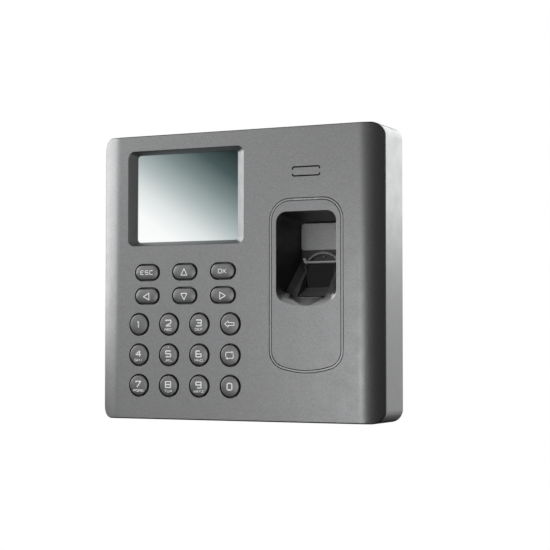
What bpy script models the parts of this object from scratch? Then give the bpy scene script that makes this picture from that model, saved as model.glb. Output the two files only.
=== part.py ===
"""Wall-mounted fingerprint terminal: colour display, 18-key keypad and an inset finger scanner.

The terminal hangs on four hooks of a steel wall plate and lifts off upwards.
X is to the viewer's right, +Z is up, and the front faces -Y. The origin is the middle of
the wall plate's back face, on the wall. Dimensions are in millimetres and depths are measured
from the flat front face towards the wall; both become metres where a mesh is made.
"""

import math

import bmesh
import bpy

MM = 0.001
GAP = 0.3
SEAM = 0.2
ROUND_STEPS = 16

# Housing
BODY_WIDTH = 135.0
BODY_HEIGHT = 125.0
BODY_DEPTH = 24.2
WALL_DEPTH = 25.0
CORNER_RADIUS = 5.5
ROLL_WIDTH = 10.7
ROLL_RADIUS = 15.5
SHELL = 2.2
FRONT_WALL = 2.6
ROLL_INSIDE = 6.4
HALF_WIDTH = BODY_WIDTH / 2
HALF_HEIGHT = BODY_HEIGHT / 2

# Rear cover and wall plate
REAR_FRONT = 21.1
REAR_BACK = 22.9
PLATE_FRONT = 23.5
PLATE_HALF_WIDTH = 55.0
PLATE_HALF_HEIGHT = 48.7
LIFT = 8.0
HOOK_CENTRES_X = (-48.0, 48.0)
HOOK_BOTTOMS_Z = (34.0, -42.0)
HOOK_WIDTH = 8.0
HOOK_LIP = (19.6, 20.8)
HOOK_HEIGHT = 7.0
HOOK_NECK = 2.0
CABLE_X = (-42.0, -6.0)
CABLE_Z = (-42.0, -18.0)
WALL_SCREWS = ((-25.0, 36.0), (25.0, 36.0), (-25.0, -8.0), (25.0, -36.0))
SECURITY_X = 4.0
SECURITY_DEPTH = 19.3
CASE_SCREWS = ((-60.3, 55.3), (15.0, 55.3), (60.3, 55.3), (-60.3, -55.3), (15.0, -55.3), (60.3, -55.3))
SCREW_HEAD_RADIUS = 2.6
SCREW_BOSS_RADIUS = 3.2
SCREW_PILOT_RADIUS = 1.4
SCREW_HOLE_RADIUS = 1.7
BOARD_BOSS_RADIUS = 1.8
BOARD_SCREWS = ((-54.6, 8.0), (6.5, 8.0), (-54.6, -54.9), (6.5, -54.9))

# Display
DISPLAY_X = (-53.2, 3.95)
DISPLAY_Z = (13.6, 55.6)
DISPLAY_BEVEL_SIDE = 3.7
DISPLAY_BEVEL_TOP = 1.7
DISPLAY_BEVEL_DEPTH = 2.0
WINDOW_X = (-52.4, 3.15)
WINDOW_Z = (13.0, 56.2)
GASKET_X = (-49.4, 0.2)
GASKET_Z = (16.0, 53.6)
PANEL_X = (-52.0, 2.8)
PANEL_Z = (13.4, 55.8)
BACKLIGHT_X = (-52.2, 3.0)
BACKLIGHT_Z = (13.2, 56.0)
FLEX_X = (-32.0, -16.0)

# Keypad
PILL_COLUMNS = (-43.2, -24.5, -5.8)
PILL_ROWS = (1.8, -8.55)
PILL_NAMES = (("esc", "up", "ok"), ("left", "down", "right"))
PILL_LENGTH = 12.5
PILL_HEIGHT = 7.5
ROUND_COLUMNS = (-47.2, -32.2, -17.2, -2.2)
ROUND_ROWS = (-21.0, -34.4, -47.8)
ROUND_NAMES = (("1", "2", "3", "back"), ("4", "5", "6", "repeat"), ("7", "8", "9", "0"))
ROUND_RADIUS = 5.0
KEY_CLEARANCE = 0.45
KEY_DOME = 0.7
DOME_INSET = 5.6
DOME_FOOT_INSET = 3.4
KEY_FLANGE = 1.2
MEMBRANE_X = (-52.4, 4.4)
MEMBRANE_Z = (-54.4, 6.0)

# Main board
BOARD_FRONT = 5.7
BOARD_BACK = 7.3
BOARD_X = (-56.6, 9.6)
BOARD_Z = (-57.0, 10.5)
BATTERY_X = -2.0
BATTERY_Z = -3.5
BATTERY_RADIUS = 5.9

# Sockets on the main board
USB_X = (-40.0, -25.5)
USB_Z = (-60.0, -46.0)
USB_HEIGHT = 7.0
USB_WALL = 1.0
NETWORK_X = (-38.0, -22.0)
NETWORK_Z = (-36.8, -23.4)
POWER_X = (-19.5, -10.5)
POWER_Z = (-34.5, -25.5)
POWER_MOUTH_RADIUS = 3.15
JACK_BACK = 20.6

# Scanner insert
INSERT_X = 33.25
INSERT_TOP = 32.0
INSERT_BOTTOM = -41.7
INSERT_HALF = 17.0
INSERT_TOP_RADIUS = 9.5
INSERT_BOTTOM_RADIUS = 8.0
INSERT_SWEEP = 38.0
RING_WIDTH = 0.8
LIGHT_HALF = 5.75
FINGER_HALF = 13.7
FINGER_TOP = 26.2
FINGER_BOTTOM = -13.5
LIP_BOTTOM = -9.7
LIP_DEPTH = 2.0
FLANGE = (2.9, 4.1)
WELL_FRONT = 4.4
WELL_BACK = 19.6
WELL_WALL = 1.2
CRADLE_HALF = 6.6
GLASS_HALF = 6.15
GLASS_LENGTH = 10.3
GLASS_LEAN = 12.3
CRADLE_FOOT = (13.4, -5.7)
SCANNER_LIGHT_Z = 8.0
SCANNER_BOARD_X = (20.5, 46.0)
SCANNER_BOARD_Z = (-41.0, -13.0)
SCANNER_CAMERA_Z = -27.0

# Speaker slits
SLIT_X = (26.8, 39.9)
SLIT_Z = (41.0, 45.4)
SLIT_WIDTH = 0.6
SLIT_BREAK = 1.7


def point(x, depth, z):
    return (x * MM, (depth - WALL_DEPTH) * MM, z * MM)


def arc(centre_x, centre_z, radius, start, end, steps):
    """Points on a circle from start to end, in degrees, both ends included."""
    angles = [math.radians(start + (end - start) * i / steps) for i in range(steps + 1)]
    return [(centre_x + radius * math.cos(a), centre_z + radius * math.sin(a)) for a in angles]


def rounded_rectangle(x, z, radius, steps=5):
    (left, right), (bottom, top) = x, z
    return (
        arc(right - radius, bottom + radius, radius, -90, 0, steps)
        + arc(right - radius, top - radius, radius, 0, 90, steps)
        + arc(left + radius, top - radius, radius, 90, 180, steps)
        + arc(left + radius, bottom + radius, radius, 180, 270, steps)
    )


def circle(x, z, radius, steps=ROUND_STEPS):
    return arc(x, z, radius, 0, 360 * (steps - 1) / steps, steps - 1)


def stadium(x, z, length, height):
    """A pill outline; a circle where length equals height."""
    reach = (length - height) / 2
    if reach <= 0:
        return circle(x, z, height / 2)
    half = ROUND_STEPS // 2
    return arc(x + reach, z, height / 2, -90, 90, half) + arc(x - reach, z, height / 2, 90, 270, half)


def shield(x, half, top, bottom, top_radius, bottom_radius, sweep):
    """The insert's outline: straight sides, round top corners, and a bottom edge that is a shallow arc."""
    rise = math.sqrt((sweep - bottom_radius) ** 2 - (half - bottom_radius) ** 2)
    centre_z = bottom + sweep
    turn = math.degrees(math.atan2(half - bottom_radius, rise))
    corner_z = centre_z - rise
    right = arc(x + half - bottom_radius, corner_z, bottom_radius, -90 + turn, 0, 6)
    left = arc(x - half + bottom_radius, corner_z, bottom_radius, 180, 270 - turn, 6)
    bottom_arc = arc(x, centre_z, sweep, -90 - turn, -90 + turn, 8)[1:-1]
    top_right = arc(x + half - top_radius, top - top_radius, top_radius, 0, 90, 8)
    top_left = arc(x - half + top_radius, top - top_radius, top_radius, 90, 180, 8)
    return bottom_arc + right + top_right + top_left + left


def insert_outline(inset):
    """The insert's outline, moved inwards by inset."""
    return shield(
        INSERT_X,
        INSERT_HALF - inset,
        INSERT_TOP - inset,
        INSERT_BOTTOM + inset,
        INSERT_TOP_RADIUS - inset,
        INSERT_BOTTOM_RADIUS - inset,
        INSERT_SWEEP - inset,
    )


def finger_outline(half, bottom, top):
    return shield(INSERT_X, half, top, bottom, 4.5, 4.8, 32.0)


def add_loft(shape, sections):
    """A solid of outlines given as (x, z), each at its depth."""
    add_rings(shape, [[point(x, depth, z) for x, z in outline] for outline, depth in sections])


def add_prism(shape, outline, front, back):
    add_loft(shape, [(outline, front), (outline, back)])


def add_box(shape, x, depth, z):
    add_prism(shape, [(x[0], z[0]), (x[1], z[0]), (x[1], z[1]), (x[0], z[1])], depth[0], depth[1])


def add_side_prism(shape, outline, x):
    """A solid whose outline is given as (depth, z) and which runs along X."""
    add_rings(shape, [[point(place, depth, z) for depth, z in outline] for place in x])


def add_upright_loft(shape, sections):
    """A solid of outlines given as (x, depth), each at its height z."""
    add_rings(shape, [[point(x, depth, z) for x, depth in outline] for outline, z in sections])


def add_rings(shape, rings):
    """Joins rings of equal numbers of points into one closed solid, capped at both ends."""
    rings = [[shape.verts.new(spot) for spot in ring] for ring in rings]
    for first, second in zip(rings, rings[1:]):
        for i in range(len(first)):
            j = (i + 1) % len(first)
            shape.faces.new((first[i], first[j], second[j], second[i]))
    shape.faces.new(list(reversed(rings[0])))
    shape.faces.new(rings[-1])


def material(name, colour, roughness, metallic=0.0):
    made = bpy.data.materials.new(name)
    made.use_nodes = True
    shader = made.node_tree.nodes["Principled BSDF"]
    shader.inputs["Base Color"].default_value = (*colour, 1.0)
    shader.inputs["Roughness"].default_value = roughness
    shader.inputs["Metallic"].default_value = metallic
    return made


def make(name, shape, look=None):
    """Turns a bmesh into a named object; without a look it is a hidden helper for a Boolean."""
    bmesh.ops.recalc_face_normals(shape, faces=shape.faces)
    mesh = bpy.data.meshes.new(name)
    shape.to_mesh(mesh)
    shape.free()
    made = bpy.data.objects.new(name, mesh)
    bpy.context.scene.collection.objects.link(made)
    if look is None:
        made.hide_render = True
        made.display_type = "WIRE"
        return made
    mesh.materials.append(material(name, *look))
    mesh.shade_smooth()
    mesh.set_sharp_from_angle(angle=math.radians(35))
    return made


def combine(target, helper, operation):
    modifier = target.modifiers.new(helper.name, "BOOLEAN")
    modifier.object = helper
    modifier.operation = operation
    modifier.solver = "EXACT"


def move_origin(made, x, depth, z):
    """Puts the object's origin on its joint's axis and leaves its surface where it is."""
    place = point(x, depth, z)
    for vertex in made.data.vertices:
        vertex.co = [a - b for a, b in zip(vertex.co, place)]
    made.location = place


GREY_PLASTIC = ((0.21, 0.212, 0.216), 0.45)
KEY_PLASTIC = ((0.085, 0.087, 0.09), 0.4)
BLACK_PLASTIC = ((0.015, 0.015, 0.016), 0.5)
STEEL = ((0.55, 0.55, 0.56), 0.3, 1.0)
BOARD = ((0.02, 0.11, 0.05), 0.5)


def display_opening(inset):
    side = DISPLAY_BEVEL_SIDE * inset
    top = DISPLAY_BEVEL_TOP * inset
    radius = 3.0 - 1.5 * inset
    return rounded_rectangle(
        (DISPLAY_X[0] + side, DISPLAY_X[1] - side), (DISPLAY_Z[0] + top, DISPLAY_Z[1] - top), radius
    )


def inner_outline(clearance):
    half_x = HALF_WIDTH - SHELL - clearance
    half_z = HALF_HEIGHT - SHELL - clearance
    return rounded_rectangle((-half_x, half_x), (-half_z, half_z), CORNER_RADIUS - SHELL, 4)


def keys():
    """Name, centre, length and height of every keypad hole."""
    for z, names in zip(PILL_ROWS, PILL_NAMES):
        for x, name in zip(PILL_COLUMNS, names):
            yield name, x, z, PILL_LENGTH, PILL_HEIGHT
    for z, names in zip(ROUND_ROWS, ROUND_NAMES):
        for x, name in zip(ROUND_COLUMNS, names):
            yield name, x, z, 2 * ROUND_RADIUS, 2 * ROUND_RADIUS


def front_profile():
    """The housing's section across its width, as (x, depth): flat middle, rolled edges, straight sides."""
    flat = HALF_WIDTH - ROLL_WIDTH
    reach = math.degrees(math.asin(ROLL_WIDTH / ROLL_RADIUS))
    right = [(x, -z) for x, z in arc(flat, -ROLL_RADIUS, ROLL_RADIUS, 90, 90 - reach, 7)]
    left = [(-x, depth) for x, depth in reversed(right)]
    return left + right + [(HALF_WIDTH, BODY_DEPTH), (-HALF_WIDTH, BODY_DEPTH)]


def make_front_cover():
    shape = bmesh.new()
    add_upright_loft(shape, [(front_profile(), -HALF_HEIGHT), (front_profile(), HALF_HEIGHT)])
    cover = make("front_cover", shape, GREY_PLASTIC)

    shape = bmesh.new()
    outline = rounded_rectangle((-HALF_WIDTH, HALF_WIDTH), (-HALF_HEIGHT, HALF_HEIGHT), CORNER_RADIUS, 6)
    add_prism(shape, outline, -5.0, BODY_DEPTH + 5.0)
    combine(cover, make("housing_outline", shape), "INTERSECT")

    inner = HALF_WIDTH - SHELL
    flat = HALF_WIDTH - ROLL_WIDTH
    behind = BODY_DEPTH + 5.0
    right = [(flat, FRONT_WALL), (inner, ROLL_INSIDE), (inner, behind)]
    section = right + [(-x, depth) for x, depth in reversed(right)]
    shape = bmesh.new()
    add_upright_loft(shape, [(section, -HALF_HEIGHT + SHELL), (section, HALF_HEIGHT - SHELL)])
    combine(cover, make("housing_inside", shape), "DIFFERENCE")

    shape = bmesh.new()
    for x, z in CASE_SCREWS:
        add_prism(shape, circle(x, z, SCREW_BOSS_RADIUS, 16), 1.5, REAR_FRONT - GAP)
    for x, z in BOARD_SCREWS:
        add_prism(shape, circle(x, z, BOARD_BOSS_RADIUS, 16), 1.5, BOARD_FRONT - GAP)
    add_box(shape, (SECURITY_X - 4, SECURITY_X + 4), (15.5, 20.8), (-HALF_HEIGHT + 1.0, -57.0))
    combine(cover, make("screw_bosses", shape), "UNION")

    shape = bmesh.new()
    for _, x, z, length, height in keys():
        add_prism(shape, stadium(x, z, length, height), -5.0, FRONT_WALL + 1.0)
    add_prism(shape, insert_outline(0.0), -5.0, FRONT_WALL + 1.0)
    mouth = display_opening(-1.0 / DISPLAY_BEVEL_DEPTH)
    floor = display_opening(1.0)
    add_loft(shape, [(mouth, -1.0), (floor, DISPLAY_BEVEL_DEPTH), (floor, FRONT_WALL + 1.0)])
    for x, z in CASE_SCREWS:
        add_prism(shape, circle(x, z, SCREW_PILOT_RADIUS, 12), 9.0, REAR_FRONT + 1.0)
    for x, z in BOARD_SCREWS:
        add_prism(shape, circle(x, z, 1.2, 12), 3.2, BOARD_FRONT + 0.5)
    combine(cover, make("front_openings", shape), "DIFFERENCE")

    shape = bmesh.new()
    for side in (-1, 1):
        add_prism(shape, slit_outline(side), -5.0, FRONT_WALL + 1.0)
    add_box(shape, (USB_X[0] + 0.7, USB_X[1] - 0.7), (8.3, 13.9), (-HALF_HEIGHT - 2.0, -59.0))
    recess = [(3.1, -HALF_HEIGHT - 1.0), (3.1, -60.2), (1.8, -60.2), (1.8, -56.0)]
    add_upright_loft(shape, [(circle(SECURITY_X, SECURITY_DEPTH, radius, 20), z) for radius, z in recess])
    combine(cover, make("slits_and_ports", shape), "DIFFERENCE")


def slit_outline(side):
    """One half of the sounder's slit: a C that leaves a break halfway up the left or right side."""
    middle_x = sum(SLIT_X) / 2
    middle_z = sum(SLIT_Z) / 2
    half_x = (SLIT_X[1] - SLIT_X[0]) / 2
    half_z = (SLIT_Z[1] - SLIT_Z[0]) / 2
    radius = 1.0
    end = SLIT_BREAK / 2
    outer = [(half_x, end)] + arc(half_x - radius, half_z - radius, radius, 0, 90, 4)
    outer += arc(radius - half_x, half_z - radius, radius, 90, 180, 4) + [(-half_x, end)]
    inner_x = half_x - SLIT_WIDTH
    inner_z = half_z - SLIT_WIDTH
    small = radius - SLIT_WIDTH
    inner = [(inner_x, end)] + arc(inner_x - small, inner_z - small, small, 0, 90, 4)
    inner += arc(small - inner_x, inner_z - small, small, 90, 180, 4) + [(-inner_x, end)]
    return [(middle_x + x, middle_z + side * z) for x, z in outer + inner[::-1]]


def make_rear_cover():
    shape = bmesh.new()
    add_prism(shape, inner_outline(GAP), REAR_FRONT, REAR_BACK)
    cover = make("rear_cover", shape, BLACK_PLASTIC)

    shape = bmesh.new()
    add_prism(shape, rounded_rectangle(CABLE_X, CABLE_Z, 2.0), REAR_FRONT - 1.0, REAR_BACK + 1.0)
    for x in HOOK_CENTRES_X:
        for z in HOOK_BOTTOMS_Z:
            across = (x - HOOK_WIDTH / 2 - GAP, x + HOOK_WIDTH / 2 + GAP)
            add_box(shape, across, (REAR_FRONT - 1.0, REAR_BACK + 1.0), (z - LIFT - GAP, z + HOOK_NECK + GAP))
    for x, z in CASE_SCREWS:
        add_prism(shape, circle(x, z, SCREW_HOLE_RADIUS, 16), REAR_FRONT - 1.0, REAR_BACK + 1.0)
    add_box(shape, (SECURITY_X - 6, SECURITY_X + 6), (REAR_FRONT - 1.0, REAR_BACK + 1.0), (-65.0, -46.5))
    combine(cover, make("rear_openings", shape), "DIFFERENCE")


def make_wall_plate():
    shape = bmesh.new()
    half = PLATE_HALF_WIDTH
    height = PLATE_HALF_HEIGHT
    add_prism(shape, rounded_rectangle((-half, half), (-height, height), 4.0), PLATE_FRONT, WALL_DEPTH)
    plate = make("wall_plate", shape, STEEL)

    shape = bmesh.new()
    for x in HOOK_CENTRES_X:
        for z in HOOK_BOTTOMS_Z:
            root = WALL_DEPTH - 0.5
            hook = [(root, z), (HOOK_LIP[0], z), (HOOK_LIP[0], z + HOOK_HEIGHT)]
            hook += [(HOOK_LIP[1], z + HOOK_HEIGHT), (HOOK_LIP[1], z + HOOK_NECK), (root, z + HOOK_NECK)]
            add_side_prism(shape, hook, (x - HOOK_WIDTH / 2, x + HOOK_WIDTH / 2))
    add_box(shape, (SECURITY_X - 5, SECURITY_X + 5), (16.0, WALL_DEPTH - 0.5), (-height, -height + 1.5))
    combine(plate, make("hooks_and_tab", shape), "UNION")

    shape = bmesh.new()
    add_prism(
        shape,
        rounded_rectangle((CABLE_X[0] - 1, CABLE_X[1] + 1), (CABLE_Z[0] - 1, CABLE_Z[1] + 1), 3.0),
        PLATE_FRONT - 0.2,
        WALL_DEPTH + 1.0,
    )
    for x, z in WALL_SCREWS:
        add_prism(shape, stadium(x, z, 8.0, 4.2), PLATE_FRONT - 1.0, WALL_DEPTH + 1.0)
    notch_x = CASE_SCREWS[4][0]
    notch_top = CASE_SCREWS[4][1] + LIFT + SCREW_HEAD_RADIUS + 2 * GAP
    notch = (notch_x - SCREW_HEAD_RADIUS - 2 * GAP, notch_x + SCREW_HEAD_RADIUS + 2 * GAP)
    add_box(shape, notch, (PLATE_FRONT - 1.0, WALL_DEPTH + 1.0), (-height - 1.0, notch_top))
    hole = circle(SECURITY_X, SECURITY_DEPTH, 1.9, 16)
    add_upright_loft(shape, [(hole, -height - 1.0), (hole, -height + 3.0)])
    combine(plate, make("plate_openings", shape), "DIFFERENCE")


def make_display():
    shape = bmesh.new()
    add_prism(shape, rounded_rectangle(WINDOW_X, WINDOW_Z, 1.5, 3), FRONT_WALL + GAP, 4.1)
    make("display_window", shape, ((0.05, 0.06, 0.06), 0.1))

    shape = bmesh.new()
    add_prism(shape, rounded_rectangle(PANEL_X, PANEL_Z, 1.0, 2), 4.4, 4.9)
    gasket = make("display_gasket", shape, ((0.02, 0.02, 0.02), 0.9))
    shape = bmesh.new()
    add_prism(shape, rounded_rectangle(GASKET_X, GASKET_Z, 1.0, 2), 4.0, 5.5)
    combine(gasket, make("gasket_opening", shape), "DIFFERENCE")

    shape = bmesh.new()
    add_box(shape, PANEL_X, (5.2, 7.2), PANEL_Z)
    make("lcd_panel", shape, ((0.12, 0.15, 0.15), 0.15))
    shape = bmesh.new()
    add_box(shape, BACKLIGHT_X, (7.5, 9.5), BACKLIGHT_Z)
    make("lcd_backlight", shape, ((0.6, 0.61, 0.62), 0.35, 0.8))

    back_edge = [(10.1, 20.0), (10.1, 11.0), (8.1, 6.0), (8.1, 1.0)]
    ribbon = back_edge + [(depth - GAP, z) for depth, z in reversed(back_edge)]
    shape = bmesh.new()
    add_side_prism(shape, ribbon, FLEX_X)
    make("display_flex", shape, ((0.45, 0.2, 0.04), 0.4))


def make_keypad():
    shape = bmesh.new()
    add_box(shape, MEMBRANE_X, (4.7, 5.4), MEMBRANE_Z)
    membrane = make("keypad_membrane", shape, ((0.35, 0.36, 0.37), 0.7))
    shape = bmesh.new()
    for _, x, z, length, height in keys():
        top = stadium(x, z, length - DOME_INSET, height - DOME_INSET)
        foot = stadium(x, z, length - DOME_FOOT_INSET, height - DOME_FOOT_INSET)
        add_loft(shape, [(top, 3.9), (foot, 5.0)])
    combine(membrane, make("membrane_domes", shape), "UNION")

    for name, x, z, length, height in keys():
        shape = bmesh.new()
        profile = key_sections(height)
        add_loft(shape, [(stadium(x, z, length + grow, height + grow), depth) for grow, depth in profile])
        key = make("key_" + name, shape, KEY_PLASTIC)
        move_origin(key, x, 0.0, z)


def key_sections(height):
    """Growth of the keypad hole's outline and depth, from the retaining flange to the domed top."""
    side = -2 * KEY_CLEARANCE
    yield KEY_FLANGE, 3.5
    yield KEY_FLANGE, FRONT_WALL + GAP
    yield side, FRONT_WALL + GAP
    yield side, -0.1
    for part, rise in ((0.1, 0.55), (0.6, 1.0)):
        yield side - part * height, -KEY_DOME * rise


def make_main_board():
    shape = bmesh.new()
    add_box(shape, BOARD_X, (BOARD_FRONT, BOARD_BACK), BOARD_Z)
    board = make("main_board", shape, BOARD)
    shape = bmesh.new()
    for x, z in BOARD_SCREWS:
        add_prism(shape, circle(x, z, 1.3, 12), BOARD_FRONT - 1.0, BOARD_BACK + 1.0)
    combine(board, make("board_holes", shape), "DIFFERENCE")

    on_board = BOARD_BACK + GAP
    chips = (
        ("processor", (-48.0, -34.0), (-14.0, 0.0), 1.4),
        ("memory_chip", (-28.0, -17.0), (-11.0, -4.0), 1.1),
    )
    for name, x, z, height in chips:
        shape = bmesh.new()
        add_box(shape, x, (on_board, on_board + height), z)
        make(name, shape, BLACK_PLASTIC)

    shape = bmesh.new()
    add_prism(shape, circle(BATTERY_X, BATTERY_Z, BATTERY_RADIUS + 1.1), on_board, on_board + 3.6)
    holder = make("battery_holder", shape, BLACK_PLASTIC)
    shape = bmesh.new()
    add_prism(shape, circle(BATTERY_X, BATTERY_Z, BATTERY_RADIUS + GAP), on_board + 1.0, on_board + 6.0)
    combine(holder, make("battery_pocket", shape), "DIFFERENCE")
    shape = bmesh.new()
    add_prism(shape, circle(BATTERY_X, BATTERY_Z, BATTERY_RADIUS), on_board + 1.3, on_board + 3.4)
    make("clock_battery", shape, STEEL)

    socket("network_jack", NETWORK_X, (on_board, JACK_BACK), NETWORK_Z, STEEL)
    shape = bmesh.new()
    add_box(shape, (-35.9, -24.1), (JACK_BACK - 10.5, JACK_BACK + 1), (-34.0, -26.0))
    combine(bpy.data.objects["network_jack"], make("network_mouth", shape), "DIFFERENCE")

    socket("power_jack", POWER_X, (on_board, JACK_BACK), POWER_Z, BLACK_PLASTIC)
    shape = bmesh.new()
    mouth = circle(sum(POWER_X) / 2, sum(POWER_Z) / 2, POWER_MOUTH_RADIUS)
    add_prism(shape, mouth, JACK_BACK - 9.0, JACK_BACK + 1)
    combine(bpy.data.objects["power_jack"], make("power_mouth", shape), "DIFFERENCE")

    usb_back = on_board + USB_HEIGHT
    socket("usb_port", USB_X, (on_board, usb_back), USB_Z, STEEL)
    shape = bmesh.new()
    across = (USB_X[0] + USB_WALL, USB_X[1] - USB_WALL)
    add_box(shape, across, (on_board + 0.95, usb_back - 0.95), (USB_Z[0] - 1.0, -50.0))
    combine(bpy.data.objects["usb_port"], make("usb_mouth", shape), "DIFFERENCE")


def socket(name, x, depth, z, look):
    shape = bmesh.new()
    add_box(shape, x, depth, z)
    make(name, shape, look)


def make_speaker():
    shape = bmesh.new()
    x = sum(SLIT_X) / 2
    z = sum(SLIT_Z) / 2
    profile = ((8.0, 3.0), (8.0, 4.6), (6.0, 4.6), (6.0, 7.0))
    add_loft(shape, [(circle(x, z, radius), depth) for radius, depth in profile])
    make("speaker", shape, BLACK_PLASTIC)


def make_insert():
    """The scanner's bezel with its flange, the ring round it, and the ring's lit segment."""
    ring_look = ((0.2, 0.202, 0.206), 0.42)
    for name, operation, half, look in (
        ("insert_ring", "DIFFERENCE", LIGHT_HALF + SEAM, ring_look),
        ("status_light_guide", "INTERSECT", LIGHT_HALF, ((0.6, 0.62, 0.64), 0.3)),
    ):
        shape = bmesh.new()
        add_prism(shape, insert_outline(SEAM), 0.0, FRONT_WALL)
        ring = make(name, shape, look)
        shape = bmesh.new()
        add_prism(shape, insert_outline(SEAM + RING_WIDTH), -2.0, FRONT_WALL + 2.0)
        combine(ring, make(name + "_inside", shape), "DIFFERENCE")
        shape = bmesh.new()
        add_box(shape, (INSERT_X - half, INSERT_X + half), (-2.0, 6.0), (20.0, 40.0))
        combine(ring, make(name + "_break", shape), operation)

    face = insert_outline(2 * SEAM + RING_WIDTH)
    flange = insert_outline(-2.0)
    shape = bmesh.new()
    add_loft(shape, [(face, 0.0), (face, FLANGE[0]), (flange, FLANGE[0]), (flange, FLANGE[1])])
    bezel = make("scanner_bezel", shape, GREY_PLASTIC)
    slope = (LIP_BOTTOM - FINGER_BOTTOM) / LIP_DEPTH
    shape = bmesh.new()
    add_loft(
        shape,
        [
            (finger_outline(FINGER_HALF + 0.15, FINGER_BOTTOM - slope, FINGER_TOP + 0.15), -1.0),
            (finger_outline(FINGER_HALF - 0.3, LIP_BOTTOM, FINGER_TOP - 0.3), LIP_DEPTH),
            (finger_outline(FINGER_HALF - 0.3, LIP_BOTTOM, FINGER_TOP - 0.3), FLANGE[1] + 1.0),
        ],
    )
    combine(bezel, make("finger_opening", shape), "DIFFERENCE")


def well_section(grow, back):
    """The well's inside outline at its mouth or at its back, moved outwards by grow."""
    if back:
        x = (INSERT_X - 10.9, INSERT_X + 10.9)
        z = (-8.4, 23.0)
    else:
        x = (INSERT_X - 13.4, INSERT_X + 13.4)
        z = (LIP_BOTTOM - 0.2, FINGER_TOP - 0.3)
    return rounded_rectangle((x[0] - grow, x[1] + grow), (z[0] - grow, z[1] + grow), 3.0 + grow)


def make_scanner():
    shape = bmesh.new()
    outside = WELL_BACK + WELL_WALL
    add_loft(shape, [(well_section(WELL_WALL, False), WELL_FRONT), (well_section(WELL_WALL, True), outside)])
    well = make("scanner_well", shape, BLACK_PLASTIC)
    shape = bmesh.new()
    add_loft(
        shape,
        [
            (well_section(0.4, False), WELL_FRONT - 2.0),
            (well_section(0.0, False), WELL_FRONT),
            (well_section(0.0, True), WELL_BACK),
        ],
    )
    combine(well, make("well_inside", shape), "DIFFERENCE")

    lean = math.radians(GLASS_LEAN)
    up = (math.sin(lean), math.cos(lean))
    inwards = (math.cos(lean), -math.sin(lean))

    def on_slope(along, inside):
        """A point (depth, z) on the leaning face: along it from its foot, and inside it."""
        depth, z = CRADLE_FOOT
        return (depth + up[0] * along + inwards[0] * inside, z + up[1] * along + inwards[1] * inside)

    top = on_slope(GLASS_LENGTH + 1.3, 0.0)
    block = [(7.0, -9.0), CRADLE_FOOT, top, (top[0] + 2.2, top[1]), (18.4, 0.0), (18.4, -7.6)]
    shape = bmesh.new()
    add_side_prism(shape, block, (INSERT_X - CRADLE_HALF, INSERT_X + CRADLE_HALF))
    cradle = make("sensor_cradle", shape, BLACK_PLASTIC)
    pocket = [on_slope(0.3, -1.0), on_slope(GLASS_LENGTH + 0.9, -1.0), on_slope(GLASS_LENGTH + 0.9, 1.6)]
    pocket.append(on_slope(0.3, 1.6))
    shape = bmesh.new()
    add_side_prism(shape, pocket, (INSERT_X - GLASS_HALF - 0.25, INSERT_X + GLASS_HALF + 0.25))
    combine(cradle, make("glass_pocket", shape), "DIFFERENCE")

    plate = [on_slope(0.6, 0.1), on_slope(GLASS_LENGTH + 0.6, 0.1), on_slope(GLASS_LENGTH + 0.6, 1.3)]
    plate.append(on_slope(0.6, 1.3))
    shape = bmesh.new()
    add_side_prism(shape, plate, (INSERT_X - GLASS_HALF, INSERT_X + GLASS_HALF))
    make("sensor_glass", shape, ((0.01, 0.011, 0.012), 0.05))

    shape = bmesh.new()
    add_prism(shape, circle(INSERT_X, SCANNER_LIGHT_Z, 0.6, 12), WELL_BACK - 0.8, WELL_BACK - GAP)
    make("scanner_light", shape, ((0.8, 0.85, 0.9), 0.2))

    shape = bmesh.new()
    add_box(shape, SCANNER_BOARD_X, (10.0, 11.6), SCANNER_BOARD_Z)
    make("scanner_board", shape, BOARD)
    shape = bmesh.new()
    barrel = ((3.2, 5.0), (3.2, 7.0), (5.0, 7.0), (5.0, 9.7))
    add_loft(shape, [(circle(INSERT_X, SCANNER_CAMERA_Z, radius), depth) for radius, depth in barrel])
    make("scanner_camera", shape, BLACK_PLASTIC)


def make_screws():
    for number, (x, z) in enumerate(CASE_SCREWS, 1):
        shape = bmesh.new()
        head = SCREW_HEAD_RADIUS
        under = REAR_BACK + GAP
        sections = [(1.0, 12.0), (1.0, under), (head, under), (head - 0.3, REAR_BACK + 1.6)]
        add_loft(shape, [(circle(x, z, radius, 12), depth) for radius, depth in sections])
        make("case_screw_%d" % number, shape, STEEL)
    for number, (x, z) in enumerate(BOARD_SCREWS, 1):
        shape = bmesh.new()
        sections = [(0.9, 3.6), (0.9, BOARD_BACK + GAP), (1.9, BOARD_BACK + GAP), (1.7, BOARD_BACK + 1.5)]
        add_loft(shape, [(circle(x, z, radius, 12), depth) for radius, depth in sections])
        make("board_screw_%d" % number, shape, STEEL)

    shape = bmesh.new()
    sections = [(2.8, -62.2), (2.8, -60.5), (1.5, -60.5), (1.5, -45.5)]
    add_upright_loft(shape, [(circle(SECURITY_X, SECURITY_DEPTH, radius, 16), z) for radius, z in sections])
    make("security_screw", shape, STEEL)


def main():
    for old in list(bpy.data.objects):
        bpy.data.objects.remove(old, do_unlink=True)
    make_wall_plate()
    make_front_cover()
    make_rear_cover()
    make_display()
    make_keypad()
    make_main_board()
    make_speaker()
    make_insert()
    make_scanner()
    make_screws()


main()
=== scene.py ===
"""Looks of the wall-mounted fingerprint terminal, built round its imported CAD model.

Sizes are in millimetres. x and z are the model's own, and depth is measured from the flat front
face towards the wall; place() turns all three into the model's metres.
"""

import math

import bmesh
import bpy
from mathutils import Matrix, Vector


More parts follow.
